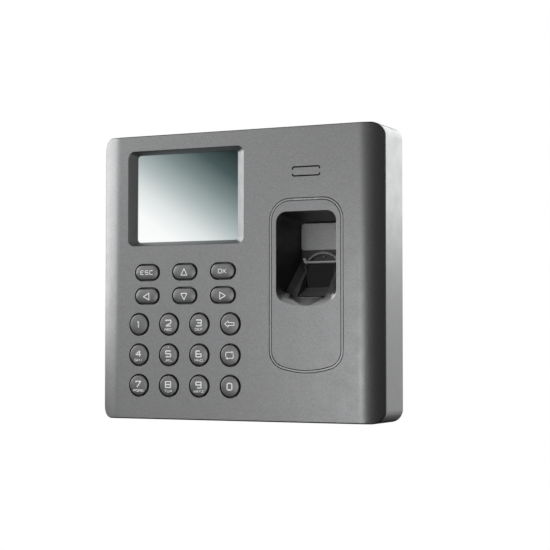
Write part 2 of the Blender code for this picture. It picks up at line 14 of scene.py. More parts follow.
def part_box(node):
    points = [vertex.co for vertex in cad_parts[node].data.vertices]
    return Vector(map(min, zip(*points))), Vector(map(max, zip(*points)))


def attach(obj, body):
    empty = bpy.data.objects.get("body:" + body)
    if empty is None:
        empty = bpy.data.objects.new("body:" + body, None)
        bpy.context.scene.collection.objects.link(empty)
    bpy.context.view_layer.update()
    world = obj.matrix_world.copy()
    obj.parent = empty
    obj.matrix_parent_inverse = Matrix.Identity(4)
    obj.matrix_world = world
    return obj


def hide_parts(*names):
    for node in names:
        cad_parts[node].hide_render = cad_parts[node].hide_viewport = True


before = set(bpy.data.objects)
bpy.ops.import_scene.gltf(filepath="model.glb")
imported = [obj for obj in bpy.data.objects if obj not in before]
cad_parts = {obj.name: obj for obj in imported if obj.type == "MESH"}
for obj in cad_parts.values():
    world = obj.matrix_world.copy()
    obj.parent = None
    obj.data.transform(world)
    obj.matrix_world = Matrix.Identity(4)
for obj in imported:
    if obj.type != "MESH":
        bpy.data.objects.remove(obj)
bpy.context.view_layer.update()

COVER_LOW, COVER_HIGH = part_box("front_cover")
MM = 0.001
FACE_Y = COVER_LOW.y
HALF_WIDTH = COVER_HIGH.x / MM
HALF_HEIGHT = COVER_HIGH.z / MM
DEPTH = (COVER_HIGH.y - COVER_LOW.y) / MM

# The housing: its left and right edges roll back on an arc.
CORNER_RADIUS = 5.5
ROLL_WIDTH = 10.7
ROLL_RADIUS = 15.5
SHELL = 2.2
FRONT_WALL = 2.6
EDGE = 0.6
INNER_CORNER_DEPTH = 7.0
USB_SLOT_DEPTH = (8.3, 13.9)
USB_SLOT_TOP = -59.0
SCREW_RECESS_TOP = -60.2

# The display recess at the front face. The bevel is how far its sides, its ends and its floor go in.
DISPLAY_X = (-53.2, 3.95)
DISPLAY_Z = (13.6, 55.6)
DISPLAY_BEVEL = (3.7, 1.7, 2.0)
# How far the display's painted reflection, an emitted sheen, runs across rather than up.
PAINTED_SHEEN_ACROSS = 0.47

# The keys: a domed top that stands proud of the face by KEY_RISE, with a rounded edge just below it.
PILL_HOLE = (12.5, 7.5)
ROUND_HOLE = 10.0
KEY_CLEARANCE = 0.45
KEY_RISE = 0.7
KEY_EDGE = 0.6
KEY_EDGE_DEPTH = -0.42
PILLS = ("esc", "up", "ok", "left", "down", "right")
ROUNDS = ("1", "2", "3", "back", "4", "5", "6", "repeat", "7", "8", "9", "0")

# The scanner insert, its trim ring, the finger opening, and the sloping lip at the opening's foot.
INSERT_X = 33.25
INSERT_TOP = 32.0
INSERT_BOTTOM = -41.7
INSERT_HALF = 17.0
SEAM = 0.17
RING_WIDTH = 0.82
LIGHT_HALF = 5.75
FINGER_HALF = 13.7
FINGER_TOP = 26.2
FINGER_BOTTOM = -13.5
LIP_BOTTOM = -9.7
LIP_START = 0.08
LIP_DEPTH = 2.0
LIP_CURVE = 0.75
SCALLOP_HALF = 8.4
SCALLOP_DEPTH = 0.6

# Inside the finger well. Outlines seen from the side are (depth, z), and from the front (x, z).
WELL_FRONT = 4.4
WELL_LENGTH = 15.2
PANEL_HALF = 10.6
PANEL_Z = (11.0, 22.6)
HOOD_CENTRE_Z = 0.5
HOOD_RADIUS = 9.2
HOOD_ARC = (30, 150)
HOOD_SECTION = ((0.75, 19.5), (0.7, 18.5), (0.45, 18.05), (0.0, 17.85))
HOOD_SECTION += ((-0.45, 18.0), (-0.7, 18.4), (-0.75, 19.5))
DIODE_DOME = ((0.15, 18.55), (0.3, 18.62), (0.4, 18.85), (0.4, 19.3))
SENSOR_LEAN = 12.3
SENSOR_FOOT = (13.4, -5.7)
SENSOR_LENGTH = 11.4
SENSOR_HALF = 6.6
CRADLE_LIP_HALF = 7.6
CRADLE_LIP_Z = (5.3, 6.05)
CRADLE_TAB = ((6.4, 5.4), (7.7, 5.2), (8.6, 7.3), (7.4, 7.4))
CRADLE_TAB_DEPTH = (15.9, 18.4)
FINGER_REST = (11.5, (2.7, 4.2), (-13.4, LIP_BOTTOM))
TROUGH_NEAR = ((6.65, -9.0), (9.6, -9.5), (10.2, -9.6), (12.9, -8.6), (13.1, -9.75), (6.65, -9.75))
TROUGH_FAR = ((6.65, 5.2), (7.2, 4.9), (8.8, 1.2), (10.9, 5.6), (11.2, -8.0), (6.65, -8.0))
TROUGH_FRONT = 6.0
TROUGH_LENGTH = 12.8

# The sounder's slits
SLIT_X = (26.8, 39.9)
SLIT_Z = (41.0, 45.4)
SLIT_WIDTH = 0.6
SLIT_BREAK = 1.7

# The wall plate with its hooks, and the openings at the back
PLATE_THICKNESS = 1.5
LIFT = 8.0
HOOK_CENTRES_X = (-48.0, 48.0)
HOOK_BOTTOMS_Z = (34.0, -42.0)
HOOK_WIDTH = 8.0
HOOK_LIP = (19.6, 20.8)
HOOK_HEIGHT = 7.0
HOOK_NECK = 2.0
CABLE_X = (-42.0, -6.0)
CABLE_Z = (-42.0, -18.0)
WALL_SLOT = (8.0, 4.2)
WALL_SCREWS = ((-25.0, 36.0), (25.0, 36.0), (-25.0, -8.0), (25.0, -36.0))
SECURITY_X = 4.0
SECURITY_DEPTH = 19.3

# The camera of the photograph: its place as (x, depth, z) from the face, and its three directions.
FILM_WIDTH = 36.0
FOCAL_PIXELS = 1520.0
PHOTO_PIXELS = 550.0
CAMERA_PLACE = (292.9, -581.5, -29.0)
CAMERA_RIGHT = (0.90466, 0.42613, 0.00088)
CAMERA_UP = (0.01816, -0.04064, 0.99901)
CAMERA_AHEAD = (-0.42575, 0.90375, 0.04450)

# The studio, in metres. A softbox has a centre, a direction, a width and height, and a radiance.
SOFTBOX_UNIT = 4.0
WORLD_FRONT = 0.09
WORLD_BACK = 0.2
WORLD_TOP = 0.35
FLOOR_Z = -1.2
SOFTBOXES = (
    ("softbox_left", (-0.75, -0.2, 0.29), (1.0, 0.0, 0.0), (0.95, 0.64), 1.95),
    ("softbox_behind", (0.6, 0.9, 0.51), (0.0, -1.0, 0.0), (1.4, 0.86), 1.75),
    ("softbox_behind_low", (0.6, 0.9, -0.14), (0.0, -1.0, 0.0), (1.4, 0.44), 0.45),
    ("softbox_fill", (0.14, -1.0, 0.15), (-0.14, 1.0, 0.0), (0.6, 0.9), 0.1),
    ("softbox_front", (-0.48, -1.0, 0.15), (0.45, 0.9, 0.0), (0.7, 0.9), 0.51),
    ("softbox_low_right", (-0.05, -0.5, -0.07), (0.1, 1.0, 0.0), (0.18, 0.22), 1.3),
    ("softbox_above", (-0.35, -0.75, 0.75), (0.35, 0.75, -0.75), (0.5, 0.4), 0.75),
    ("softbox_high_left", (-0.46, -0.5, 0.24), (0.6, 1.0, -0.25), (0.24, 0.2), 0.6),
)


# Shapes


def place(x, depth, z):
    return Vector((x * MM, FACE_Y + depth * MM, z * MM))


def span(node):
    """The node's box as three pairs: x, depth and z."""
    low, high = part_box(node)
    depth = ((low.y - FACE_Y) / MM, (high.y - FACE_Y) / MM)
    return (low.x / MM, high.x / MM), depth, (low.z / MM, high.z / MM)


def grown(pair, by):
    return pair[0] - by, pair[1] + by


def around(middle, half):
    return middle - half, middle + half


def arc(centre_x, centre_z, radius, start, end, steps):
    angles = [math.radians(start + (end - start) * i / steps) for i in range(steps + 1)]
    return [(centre_x + radius * math.cos(a), centre_z + radius * math.sin(a)) for a in angles]


def rounded_rectangle(x, z, radius, steps=8):
    (left, right), (bottom, top) = x, z
    return (
        arc(right - radius, bottom + radius, radius, -90, 0, steps)
        + arc(right - radius, top - radius, radius, 0, 90, steps)
        + arc(left + radius, top - radius, radius, 90, 180, steps)
        + arc(left + radius, bottom + radius, radius, 180, 270, steps)
    )


def circle(x, z, radius, steps=48):
    return arc(x, z, radius, 0, 360 * (steps - 1) / steps, steps - 1)


def stadium(x, z, length, height, steps=24):
    """A pill outline; a circle where length equals height."""
    reach = max(length - height, 0.0) / 2
    right = arc(x + reach, z, height / 2, -90, 90, steps)
    left = arc(x - reach, z, height / 2, 90, 270, steps)
    return right + left if reach else right + left[1:-1]


def shield(half, top, bottom, top_radius, bottom_radius, sweep):
    """Straight sides, round top corners, and a bottom edge that is a shallow arc."""
    rise = math.sqrt((sweep - bottom_radius) ** 2 - (half - bottom_radius) ** 2)
    centre_z = bottom + sweep
    turn = math.degrees(math.atan2(half - bottom_radius, rise))
    corner_z = centre_z - rise
    bottom_arc = arc(INSERT_X, centre_z, sweep, -90 - turn, -90 + turn, 24)[1:-1]
    right = arc(INSERT_X + half - bottom_radius, corner_z, bottom_radius, -90 + turn, 0, 12)
    left = arc(INSERT_X - half + bottom_radius, corner_z, bottom_radius, 180, 270 - turn, 12)
    top_right = arc(INSERT_X + half - top_radius, top - top_radius, top_radius, 0, 90, 16)
    top_left = arc(INSERT_X - half + top_radius, top - top_radius, top_radius, 90, 180, 16)
    return bottom_arc + right + top_right + top_left + left


def insert_outline(inset):
    return shield(
        INSERT_HALF - inset, INSERT_TOP - inset, INSERT_BOTTOM + inset, 9.5 - inset, 8.0 - inset, 38.0 - inset
    )


def finger_outline(grow, bottom):
    return shield(FINGER_HALF + grow, FINGER_TOP + grow, bottom, 4.5 + grow, 4.8 + grow, 32.0 + grow)


def join_rings(shape, rings, closed=False):
    """Joins rings of equal numbers of points by four-sided faces, and returns their vertices."""
    rings = [[shape.verts.new(spot) for spot in ring] for ring in rings]
    for first, second in zip(rings, rings[1:] + (rings[:1] if closed else [])):
        for i in range(len(first)):
            j = (i + 1) % len(first)
            shape.faces.new((first[i], first[j], second[j], second[i]))
    return rings


def rings_into(shape, rings):
    """Joins rings of equal numbers of points into one closed solid, capped at both ends."""
    rings = join_rings(shape, rings)
    shape.faces.new(list(reversed(rings[0])))
    shape.faces.new(rings[-1])


def add_loft(shape, sections):
    """A solid of outlines given as (x, z), each at its depth."""
    rings_into(shape, [[place(x, depth, z) for x, z in outline] for outline, depth in sections])


def add_side_loft(shape, sections):
    """A solid of outlines given as (depth, z), each at its x."""
    rings_into(shape, [[place(x, depth, z) for depth, z in outline] for outline, x in sections])


def add_side_prism(shape, outline, x):
    """A solid of one outline given as (depth, z), from one x to another."""
    add_side_loft(shape, [(outline, x[0]), (outline, x[1])])


def add_upright_loft(shape, sections):
    """A solid of outlines given as (x, depth), each at its height z."""
    rings_into(shape, [[place(x, depth, z) for x, depth in outline] for outline, z in sections])


def add_box(shape, x, depth, z):
    outline = [(x[0], z[0]), (x[1], z[0]), (x[1], z[1]), (x[0], z[1])]
    add_loft(shape, [(outline, depth[0]), (outline, depth[1])])


def to_object(name, shape):
    bmesh.ops.recalc_face_normals(shape, faces=shape.faces)
    mesh = bpy.data.meshes.new(name)
    shape.to_mesh(mesh)
    shape.free()
    made = bpy.data.objects.new(name, mesh)
    bpy.context.scene.collection.objects.link(made)
    return made


def fix(made):
    """Applies every modifier of the object to its mesh."""
    bpy.context.view_layer.update()
    evaluated = made.evaluated_get(bpy.context.evaluated_depsgraph_get())
    mesh = bpy.data.meshes.new_from_object(evaluated)
    made.modifiers.clear()
    made.data = mesh


def carve(made, shape, operation="DIFFERENCE"):
    """Applies a Boolean with the solids of a bmesh."""
    tool = to_object("tool", shape)
    modifier = made.modifiers.new("carve", "BOOLEAN")
    modifier.operation = operation
    modifier.object = tool
    modifier.solver = "EXACT"
    fix(made)
    bpy.data.objects.remove(tool, do_unlink=True)


def solid(name, build, *measures):
    """A new object with the one solid that build adds for these measures."""
    shape = bmesh.new()
    build(shape, *measures)
    return to_object(name, shape)


def cut(made, build, *measures):
    """Takes the one solid that build adds for these measures out of the object."""
    shape = bmesh.new()
    build(shape, *measures)
    carve(made, shape)


def soften(made, width, segments=2, angle=32.0):
    modifier = made.modifiers.new("edges", "BEVEL")
    modifier.width = width * MM
    modifier.segments = segments
    modifier.limit_method = "ANGLE"
    modifier.angle_limit = math.radians(angle)
    modifier.harden_normals = False
    fix(made)


def show(made, look, nodes=(), smooth=40.0, body="terminal"):
    """Finishes a piece: its material, shading, body, and the CAD nodes that it stands for."""
    mesh = made.data
    mesh.materials.clear()
    mesh.materials.append(look)
    mesh.shade_smooth()
    mesh.set_sharp_from_angle(angle=math.radians(smooth))
    weighted = made.modifiers.new("normals", "WEIGHTED_NORMAL")
    weighted.keep_sharp = True
    weighted.weight = 100
    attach(made, body)
    if nodes:
        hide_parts(*nodes)
    return made


def paint(made, look, inside):
    """Gives a second look to the faces whose centre, as (x, depth, z), passes the test."""
    made.data.materials.append(look)
    for face in made.data.polygons:
        x, y, z = face.center
        if inside(x / MM, (y - FACE_Y) / MM, z / MM):
            face.material_index = 1


# Materials


def map_range(tree, value, source, target):
    """A Map Range node that takes the source range of a socket's value to the target range."""
    made = tree.nodes.new("ShaderNodeMapRange")
    tree.links.new(value, made.inputs["Value"])
    for key, number in zip(("From Min", "From Max", "To Min", "To Max"), (*source, *target)):
        made.inputs[key].default_value = number
    return made


class Look:
    """Builds one Principled material; coordinates are the model's own metres."""

    def __init__(self, name, colour, roughness, metallic=0.0):
        self.material = bpy.data.materials.new(name)
        self.material.use_nodes = True
        self.tree = self.material.node_tree
        self.shader = self.tree.nodes["Principled BSDF"]
        self.colour = colour
        self.set("Base Color", (*colour, 1.0))
        self.set("Roughness", roughness)
        self.set("Metallic", metallic)
        self.where = self.tree.nodes.new("ShaderNodeTexCoord").outputs["Object"]

    def set(self, socket, value):
        self.shader.inputs[socket].default_value = value
        return self

    def node(self, kind, **inputs):
        made = self.tree.nodes.new(kind)
        for key, value in inputs.items():
            socket = made.inputs[key.replace("_", " ")]
            if isinstance(value, bpy.types.NodeSocket):
                self.tree.links.new(value, socket)
            else:
                socket.default_value = value
        return made

    def noise(self, size, detail=2.0, stretch=(1.0, 1.0, 1.0)):
        """A noise whose grains are about size millimetres."""
        mapping = self.node("ShaderNodeMapping", Vector=self.where, Scale=stretch)
        where, scale = mapping.outputs["Vector"], 1.0 / (size * MM)
        return self.node("ShaderNodeTexNoise", Vector=where, Scale=scale, Detail=detail).outputs["Fac"]

    def remap(self, value, low, high, to_low, to_high):
        return map_range(self.tree, value, (low, high), (to_low, to_high)).outputs["Result"]

    def vary(self, value, dark, light, low=0.3, high=0.7):
        """Runs the base colour from dark to light as value goes from low to high."""
        ramp = self.node("ShaderNodeMix")
        ramp.data_type = "RGBA"
        self.tree.links.new(self.remap(value, low, high, 0.0, 1.0), ramp.inputs["Factor"])
        colour = [socket for socket in ramp.inputs if socket.type == "RGBA"]
        colour[0].default_value = (*dark, 1.0)
        colour[1].default_value = (*light, 1.0)
        result = [socket for socket in ramp.outputs if socket.type == "RGBA"][0]
        self.tree.links.new(result, self.shader.inputs["Base Color"])
        return self

    def rough(self, value, to_low, to_high, low=0.3, high=0.7):
        self.tree.links.new(self.remap(value, low, high, to_low, to_high), self.shader.inputs["Roughness"])
        return self

    def bump(self, *heights):
        """Chains bumps, each a height socket with its depth in millimetres."""
        normal = None
        for height, depth in heights:
            made = self.node("ShaderNodeBump", Height=height, Distance=depth * MM, Strength=1.0)
            if normal:
                self.tree.links.new(normal, made.inputs["Normal"])
            normal = made.outputs["Normal"]
        self.tree.links.new(normal, self.shader.inputs["Normal"])
        return self


def scaled(colour, factor):
    return tuple(part * factor for part in colour)


def sparkle_plastic(name, colour, roughness, metallic, grain=0.012):
    """Moulded plastic with fine metallic flakes under an eggshell grain."""
    look = Look(name, colour, roughness, metallic)
    flakes = look.noise(0.35, 3.0)
    look.vary(flakes, scaled(colour, 0.84), scaled(colour, 1.16))
    look.rough(look.noise(6.0), roughness - 0.03, roughness + 0.03)
    look.bump((look.noise(0.45, 2.0), grain))
    return look.material


def black_plastic(name, colour=(0.018, 0.018, 0.019), roughness=0.45, grain=0.02):
    look = Look(name, colour, roughness)
    look.vary(look.noise(3.0), scaled(colour, 0.85), scaled(colour, 1.15))
    look.rough(look.noise(1.2), roughness - 0.05, roughness + 0.06)
    look.bump((look.noise(0.3, 2.0), grain))
    return look.material


def metal(name, colour, roughness, stretch=(1.0, 1.0, 12.0), grain=0.004):
    """Rolled or plated metal with a fine direction in its grain and faint clouding."""
    look = Look(name, colour, roughness, 1.0)
    look.vary(look.noise(9.0), scaled(colour, 0.88), scaled(colour, 1.05))
    look.rough(look.noise(0.8, 3.0, stretch), roughness - 0.07, roughness + 0.1, 0.25, 0.75)
    look.bump((look.noise(0.5, 2.0, stretch), grain))
    return look.material


def main_looks():
    looks = {
        "body": sparkle_plastic("body_grey", (0.3, 0.302, 0.306), 0.33, 0.85),
        "key": sparkle_plastic("key_grey", (0.215, 0.216, 0.218), 0.33, 0.8, 0.008),
        "ring": sparkle_plastic("ring_grey", (0.35, 0.352, 0.356), 0.3, 0.85),
        "light": sparkle_plastic("light_guide", (0.48, 0.482, 0.486), 0.28, 0.6, 0.004),
        "black": black_plastic("black_plastic"),
        "well": black_plastic("well_plastic", (0.06, 0.061, 0.063), 0.42),
        "cradle": black_plastic("cradle_plastic", (0.16, 0.161, 0.165), 0.4, 0.01),
        "hood": sparkle_plastic("hood_grey", (0.4, 0.402, 0.406), 0.35, 0.3, 0.01),
        "tongue": black_plastic("socket_tongue", (0.5, 0.5, 0.49), 0.45, 0.006),
        "steel": metal("zinc_steel", (0.46, 0.465, 0.47), 0.42),
        "tin": metal("tin_plate", (0.72, 0.72, 0.71), 0.25),
        "gold": metal("gold_contact", (0.83, 0.6, 0.25), 0.25),
        "panel": sparkle_plastic("well_panel", (0.8, 0.802, 0.806), 0.55, 0.0, 0.05),
    }
    ink = Look("legend_ink_and_painted_glow", (0.85, 0.86, 0.87), 0.5)
    ink.vary(ink.noise(0.6), (0.8, 0.81, 0.82), (0.9, 0.91, 0.92))
    # Painted glow: the printed legends also emit a faint white light, so they read brighter than the lamps
    # make them.
    ink.set("Emission Color", (1.0, 1.0, 1.0, 1.0)).set("Emission Strength", 0.3)
    looks["ink"] = ink.bump((ink.noise(0.2), 0.004)).material

    glass = Look("sensor_glass", (0.006, 0.0065, 0.007), 0.1)
    glass.rough(glass.noise(4.0, 3.0), 0.05, 0.16)
    looks["glass"] = glass.set("Specular IOR Level", 0.2).material

    diode = Look("diode_lens", (0.5, 0.51, 0.52), 0.15)
    diode.vary(diode.noise(0.3), (0.45, 0.46, 0.47), (0.6, 0.61, 0.62))
    looks["diode"] = diode.set("Coat Weight", 0.5).material

    board = Look("solder_mask", (0.015, 0.09, 0.04), 0.35)
    tracks = board.noise(1.4, 0.0, (1.0, 1.0, 0.25))
    board.vary(tracks, (0.01, 0.07, 0.03), (0.02, 0.12, 0.055), 0.47, 0.53)
    looks["board"] = board.bump((tracks, 0.02)).material

    rubber = Look("silicone", (0.3, 0.31, 0.32), 0.6)
    rubber.vary(rubber.noise(2.0), (0.27, 0.28, 0.29), (0.33, 0.34, 0.35))
    looks["rubber"] = rubber.bump((rubber.noise(0.4), 0.01)).material

    ribbon = Look("polyimide", (0.45, 0.19, 0.03), 0.3)
    lines = ribbon.noise(0.6, 0.0, (1.0, 0.02, 0.02))
    looks["ribbon"] = ribbon.vary(lines, (0.4, 0.16, 0.02), (0.6, 0.3, 0.1), 0.45, 0.55).material

    # The display's look is a painted reflection: an emitted sheen, not a lamp.
    looks["display"] = painted_sheen_display_look()
    return looks


def painted_sheen_display_look():
    """The display's painted reflection: an emitted pale sheen at its lower left, glowing though the display
    is off, that falls off to dark teal.
    """
    look = Look("display_painted_sheen", (0.02, 0.03, 0.03), 0.06)
    side, top, _ = DISPLAY_BEVEL
    low = place(DISPLAY_X[0] + side, 0, DISPLAY_Z[0] + top)
    high = place(DISPLAY_X[1] - side, 0, DISPLAY_Z[1] - top)
    across = look.node("ShaderNodeSeparateXYZ", Vector=look.where)
    x = look.remap(across.outputs["X"], low.x, high.x, 0.0, PAINTED_SHEEN_ACROSS)
    z = look.remap(across.outputs["Z"], low.z, high.z, 0.0, 1.0 - PAINTED_SHEEN_ACROSS)
    total = look.node("ShaderNodeMath")
    look.tree.links.new(x, total.inputs[0])
    look.tree.links.new(z, total.inputs[1])
    ramp = look.node("ShaderNodeValToRGB", Fac=total.outputs["Value"])
    # Painted reflection: the emitted sheen runs from white at the lower left to dark teal at the upper right.
    stops = (
        (0.0, (1.0, 1.0, 1.0)),
        (0.18, (0.96, 0.97, 0.97)),
        (0.34, (0.74, 0.78, 0.78)),
        (0.5, (0.42, 0.48, 0.48)),
        (0.66, (0.2, 0.25, 0.25)),
        (0.82, (0.055, 0.083, 0.083)),
        (1.0, (0.004, 0.01, 0.01)),
    )
    ramp.color_ramp.elements[0].color = (*stops[0][1], 1.0)
    ramp.color_ramp.elements[1].color = (*stops[-1][1], 1.0)
    for spot, colour in stops[1:-1]:
        ramp.color_ramp.elements.new(spot).color = (*colour, 1.0)
    # The sheen is emitted, so the switched-off display glows as painted light.
    look.tree.links.new(ramp.outputs["Color"], look.shader.inputs["Emission Color"])
    look.set("Emission Strength", 0.97)
    look.set("Specular IOR Level", 0.06)
    look.rough(look.noise(12.0), 0.04, 0.09)
    return look.material


# The housing


def roll_depth(x):
    """How far the front surface has rolled back at x."""
    over = max(abs(x) - (HALF_WIDTH - ROLL_WIDTH), 0.0)
    return ROLL_RADIUS - math.sqrt(ROLL_RADIUS**2 - over**2)


def housing_columns(inset):
    """The front outline as (x, half height), left to right, with columns for the rolled edges."""
    radius = CORNER_RADIUS - inset
    half_x = HALF_WIDTH - inset
    half_z = HALF_HEIGHT - inset
    corner = [(half_x - radius + x, half_z - radius + z) for x, z in arc(0, 0, radius, 0, 90, 12)]
    flat = HALF_WIDTH - ROLL_WIDTH
    steps = 10
    reach = HALF_WIDTH - CORNER_RADIUS - flat
    strip = [(flat + reach * (steps - i) / steps, half_z) for i in range(1, steps + 1)]
    right = corner + strip
    return [(-x, z) for x, z in right] + right[::-1]


def housing_ring(inset, depth_at):
    columns = housing_columns(inset)
    below = [place(x, depth_at(x), -z) for x, z in columns]
    above = [place(x, depth_at(x), z) for x, z in reversed(columns)]
    return below + above


def make_housing(looks):
    shape = bmesh.new()
    rings = []
    for step in range(5):
        turn = math.radians(90 * step / 4)
        inset = EDGE * (1 - math.sin(turn))
        add = EDGE * (1 - math.cos(turn))
        rings.append(housing_ring(inset, lambda x: roll_depth(x) + add))
    for inset, depth in ((0.0, DEPTH - 0.3), (0.3, DEPTH), (SHELL, DEPTH), (SHELL, INNER_CORNER_DEPTH)):
        rings.append(housing_ring(inset, lambda x: depth))
    rings.append(housing_ring(SHELL, lambda x: FRONT_WALL + roll_depth(x)))
    made = join_rings(shape, rings)
    count = len(made[0])
    for ring in (made[0], made[-1]):
        for i in range(count // 2 - 1):
            shape.faces.new((ring[i], ring[i + 1], ring[count - 2 - i], ring[count - 1 - i]))
    housing = to_object("housing", shape)

    shape = bmesh.new()
    for x, z, length, height in key_holes().values():
        add_loft(shape, flared(lambda grow: stadium(x, z, length + 2 * grow, height + 2 * grow), 0.2))
    add_loft(shape, flared(lambda grow: insert_outline(-grow), 0.18))
    for side in (-1, 1):
        outline = slit_outline(side)
        add_loft(shape, [(outline, -1.0), (outline, FRONT_WALL + 1.0)])
    add_loft(shape, display_mouth())
    carve(housing, shape)

    edge = -HALF_HEIGHT
    slot = box_outline(grown(span("usb_port")[0], -0.7), USB_SLOT_DEPTH, 0.6, 3)
    steps = ((0.4, edge - 1.0), (0.4, edge), (0.0, edge + 0.4), (0.0, USB_SLOT_TOP))
    screw_x, screw_depth, _ = span("security_screw")
    centre = (sum(screw_x) / 2, sum(screw_depth) / 2)
    recess = ((3.3, edge - 1.0), (3.3, edge), (3.1, edge + 0.2), (3.1, SCREW_RECESS_TOP))
    shape = bmesh.new()
    add_upright_loft(shape, [(slot(grow), z) for grow, z in steps])
    add_upright_loft(shape, [(circle(*centre, radius), z) for radius, z in recess])
    carve(housing, shape)
    show(housing, looks["body"], ["front_cover"])


def flared(outline, radius, start=-1.0, end=FRONT_WALL + 1.0):
    """Sections of a cutter whose mouth rounds over the front face with the given radius."""
    return [(outline(radius), start), *rounded_edge(outline, radius), (outline(0.0), end)]


def display_outline(side, top, radius):
    return rounded_rectangle(
        (DISPLAY_X[0] + side, DISPLAY_X[1] - side), (DISPLAY_Z[0] + top, DISPLAY_Z[1] - top), radius, 10
    )


def display_mouth():
    side, top, deep = DISPLAY_BEVEL
    sections = [(display_outline(-0.25, -0.2, 3.2), -1.0), (display_outline(-0.25, -0.2, 3.2), 0.0)]
    sections.append((display_outline(0.05, 0.02, 3.0), 0.08))
    sections.append((display_outline(side - 0.15, top - 0.08, 1.6), deep - 0.08))
    sections.append((display_outline(side, top, 1.5), deep + 0.08))
    sections.append((display_outline(side, top, 1.5), FRONT_WALL + 1.0))
    return sections


def slit_outline(side):
    """One half of the sounder's slit: a C that leaves a break halfway up both sides."""
    middle_x = sum(SLIT_X) / 2
    middle_z = sum(SLIT_Z) / 2
    half_x = (SLIT_X[1] - SLIT_X[0]) / 2
    half_z = (SLIT_Z[1] - SLIT_Z[0]) / 2
    outline = []
    for inset, order in ((0.0, 1), (SLIT_WIDTH, -1)):
        reach_x, reach_z, radius = half_x - inset, half_z - inset, 1.0 - inset
        side_line = [(reach_x, SLIT_BREAK / 2)] + arc(reach_x - radius, reach_z - radius, radius, 0, 90, 6)
        side_line += arc(radius - reach_x, reach_z - radius, radius, 90, 180, 6)
        side_line.append((-reach_x, SLIT_BREAK / 2))
        outline += side_line[::order]
    return [(middle_x + x, middle_z + side * z) for x, z in outline]


# The keys


def key_holes():
    """Centre, length and height of every keypad hole, read from the keys."""
    holes = {}
    for name in PILLS + ROUNDS:
        x, _, z = span("key_" + name)
        size = PILL_HOLE if name in PILLS else (ROUND_HOLE, ROUND_HOLE)
        holes[name] = (sum(x) / 2, sum(z) / 2, *size)
    return holes


def key_top(length, height, x, z):
    """Depth of the domed key top at a point measured from the key's centre."""
    reach = (length - height) / 2
    radius = height / 2 - KEY_CLEARANCE
    away = math.hypot(max(abs(x) - reach, 0.0), z) / (radius - KEY_EDGE)
    return -KEY_RISE + (KEY_RISE + KEY_EDGE_DEPTH) * min(away, 1.0) ** 2.2


def make_key(name, hole, looks):
    x, z, length, height = hole
    radius = height / 2 - KEY_CLEARANCE
    side = -2 * KEY_CLEARANCE
    sections = [(1.2, 3.5), (1.2, FRONT_WALL + 0.3), (side, FRONT_WALL + 0.3)]
    for step in range(7):
        turn = math.radians(90 * step / 6)
        drop = KEY_EDGE_DEPTH + KEY_EDGE * (1 - math.sin(turn))
        sections.append((side - 2 * KEY_EDGE * (1 - math.cos(turn)), drop))
    inner = radius - KEY_EDGE
    for part in (0.86, 0.7, 0.52, 0.34, 0.16):
        depth = -KEY_RISE + (KEY_RISE + KEY_EDGE_DEPTH) * part**2.2
        sections.append((side - 2 * KEY_EDGE - 2 * inner * (1 - part), depth))
    sections = [(stadium(x, z, length + grow, height + grow), depth) for grow, depth in sections]
    cap = solid("keycap_" + name, add_loft, sections)
    show(cap, looks["key"], ["key_" + name], 60.0, "button_" + name)

    shape = bmesh.new()
    add_legend(shape, name, hole)
    legend = to_object("legend_" + name, shape)
    # The legends are printed ink with a painted glow.
    show(legend, looks["ink"], smooth=60.0, body="button_" + name)


GLYPHS = {
    "0": "00 40 46 06 o",
    "1": "15 26 20",
    "2": "05 06 46 43 00 40",
    "3": "06 46 40 00|13 43",
    "4": "36 02 42|36 30",
    "5": "46 06 03 43 40 00",
    "6": "36 06 00 40 43 03",
    "7": "05 06 46 10",
    "8": "00 40 46 06 o|03 43",
    "9": "43 03 06 46 40 10",
    "A": "00 04 26 44 40|02 42",
    "B": "00 06 46 43 03|43 40 00",
    "C": "46 06 00 40",
    "D": "00 06 36 44 42 30 o",
    "E": "46 06 00 40|03 33",
    "F": "46 06 00|03 33",
    "G": "46 06 00 40 43 23",
    "H": "06 00|46 40|03 43",
    "I": "26 20",
    "J": "46 40 00 01",
    "K": "06 00|46 13 40",
    "L": "06 00 40",
    "M": "00 06 23 46 40",
    "N": "00 06 40 46",
    "O": "00 40 46 06 o",
    "P": "00 06 46 43 03",
    "Q": "00 40 46 06 o|22 40",
    "R": "00 06 46 43 03|23 40",
    "S": "46 06 03 43 40 00",
    "T": "06 46|26 20",
    "U": "06 00 40 46",
    "V": "06 20 46",
    "W": "06 10 23 30 46",
    "X": "06 40|00 46",
    "Y": "06 23 46|23 20",
    "Z": "06 46 00 40",
}
LETTERS = {"2": "ABC", "3": "DEF", "4": "GHI", "5": "JKL", "6": "MNO", "7": "PQRS", "8": "TUV", "9": "WXYZ"}
WORDS = {"esc": "ESC", "ok": "OK"}
TRIANGLES = {"up": 90, "left": 180, "down": 270, "right": 0}
TRIANGLE = ((1.6, 0.0), (-1.2, 1.5), (-1.2, -1.5))
ARROW = ((-2.4, 0.0), (-0.7, 1.35), (-0.7, 0.6), (2.1, 0.6), (2.1, -0.6), (-0.7, -0.6), (-0.7, -1.35))
# Each kind of text: its foot below the key's centre, then letter width, height and pitch.
WORD = (0.85, 1.5, 1.65, 2.3)
DIGIT = (0.75, 2.55, 2.55, 3.0)
LONE_DIGIT = (1.4, 2.3, 2.8, 3.0)
LETTER_FOOT = 2.75
LETTER_SIZE = (1.0, 0.95)
NIB_HEIGHT = 3.45
NIB = ((0.3, -0.3), (0.27, -0.62), (0.12, -0.69))


def text_strokes(text, centre_x, bottom, width, height, pitch):
    """Strokes of a word as (points, closed), centred on centre_x."""
    start = centre_x - (pitch * (len(text) - 1) + width) / 2
    for number, letter in enumerate(text):
        for stroke in GLYPHS[letter].split("|"):
            pairs = stroke.split()
            closed = pairs[-1] == "o"
            points = [
                (start + pitch * number + width * int(pair[0]) / 4, bottom + height * int(pair[1]) / 6)
                for pair in pairs[: -1 if closed else None]
            ]
            yield points, closed


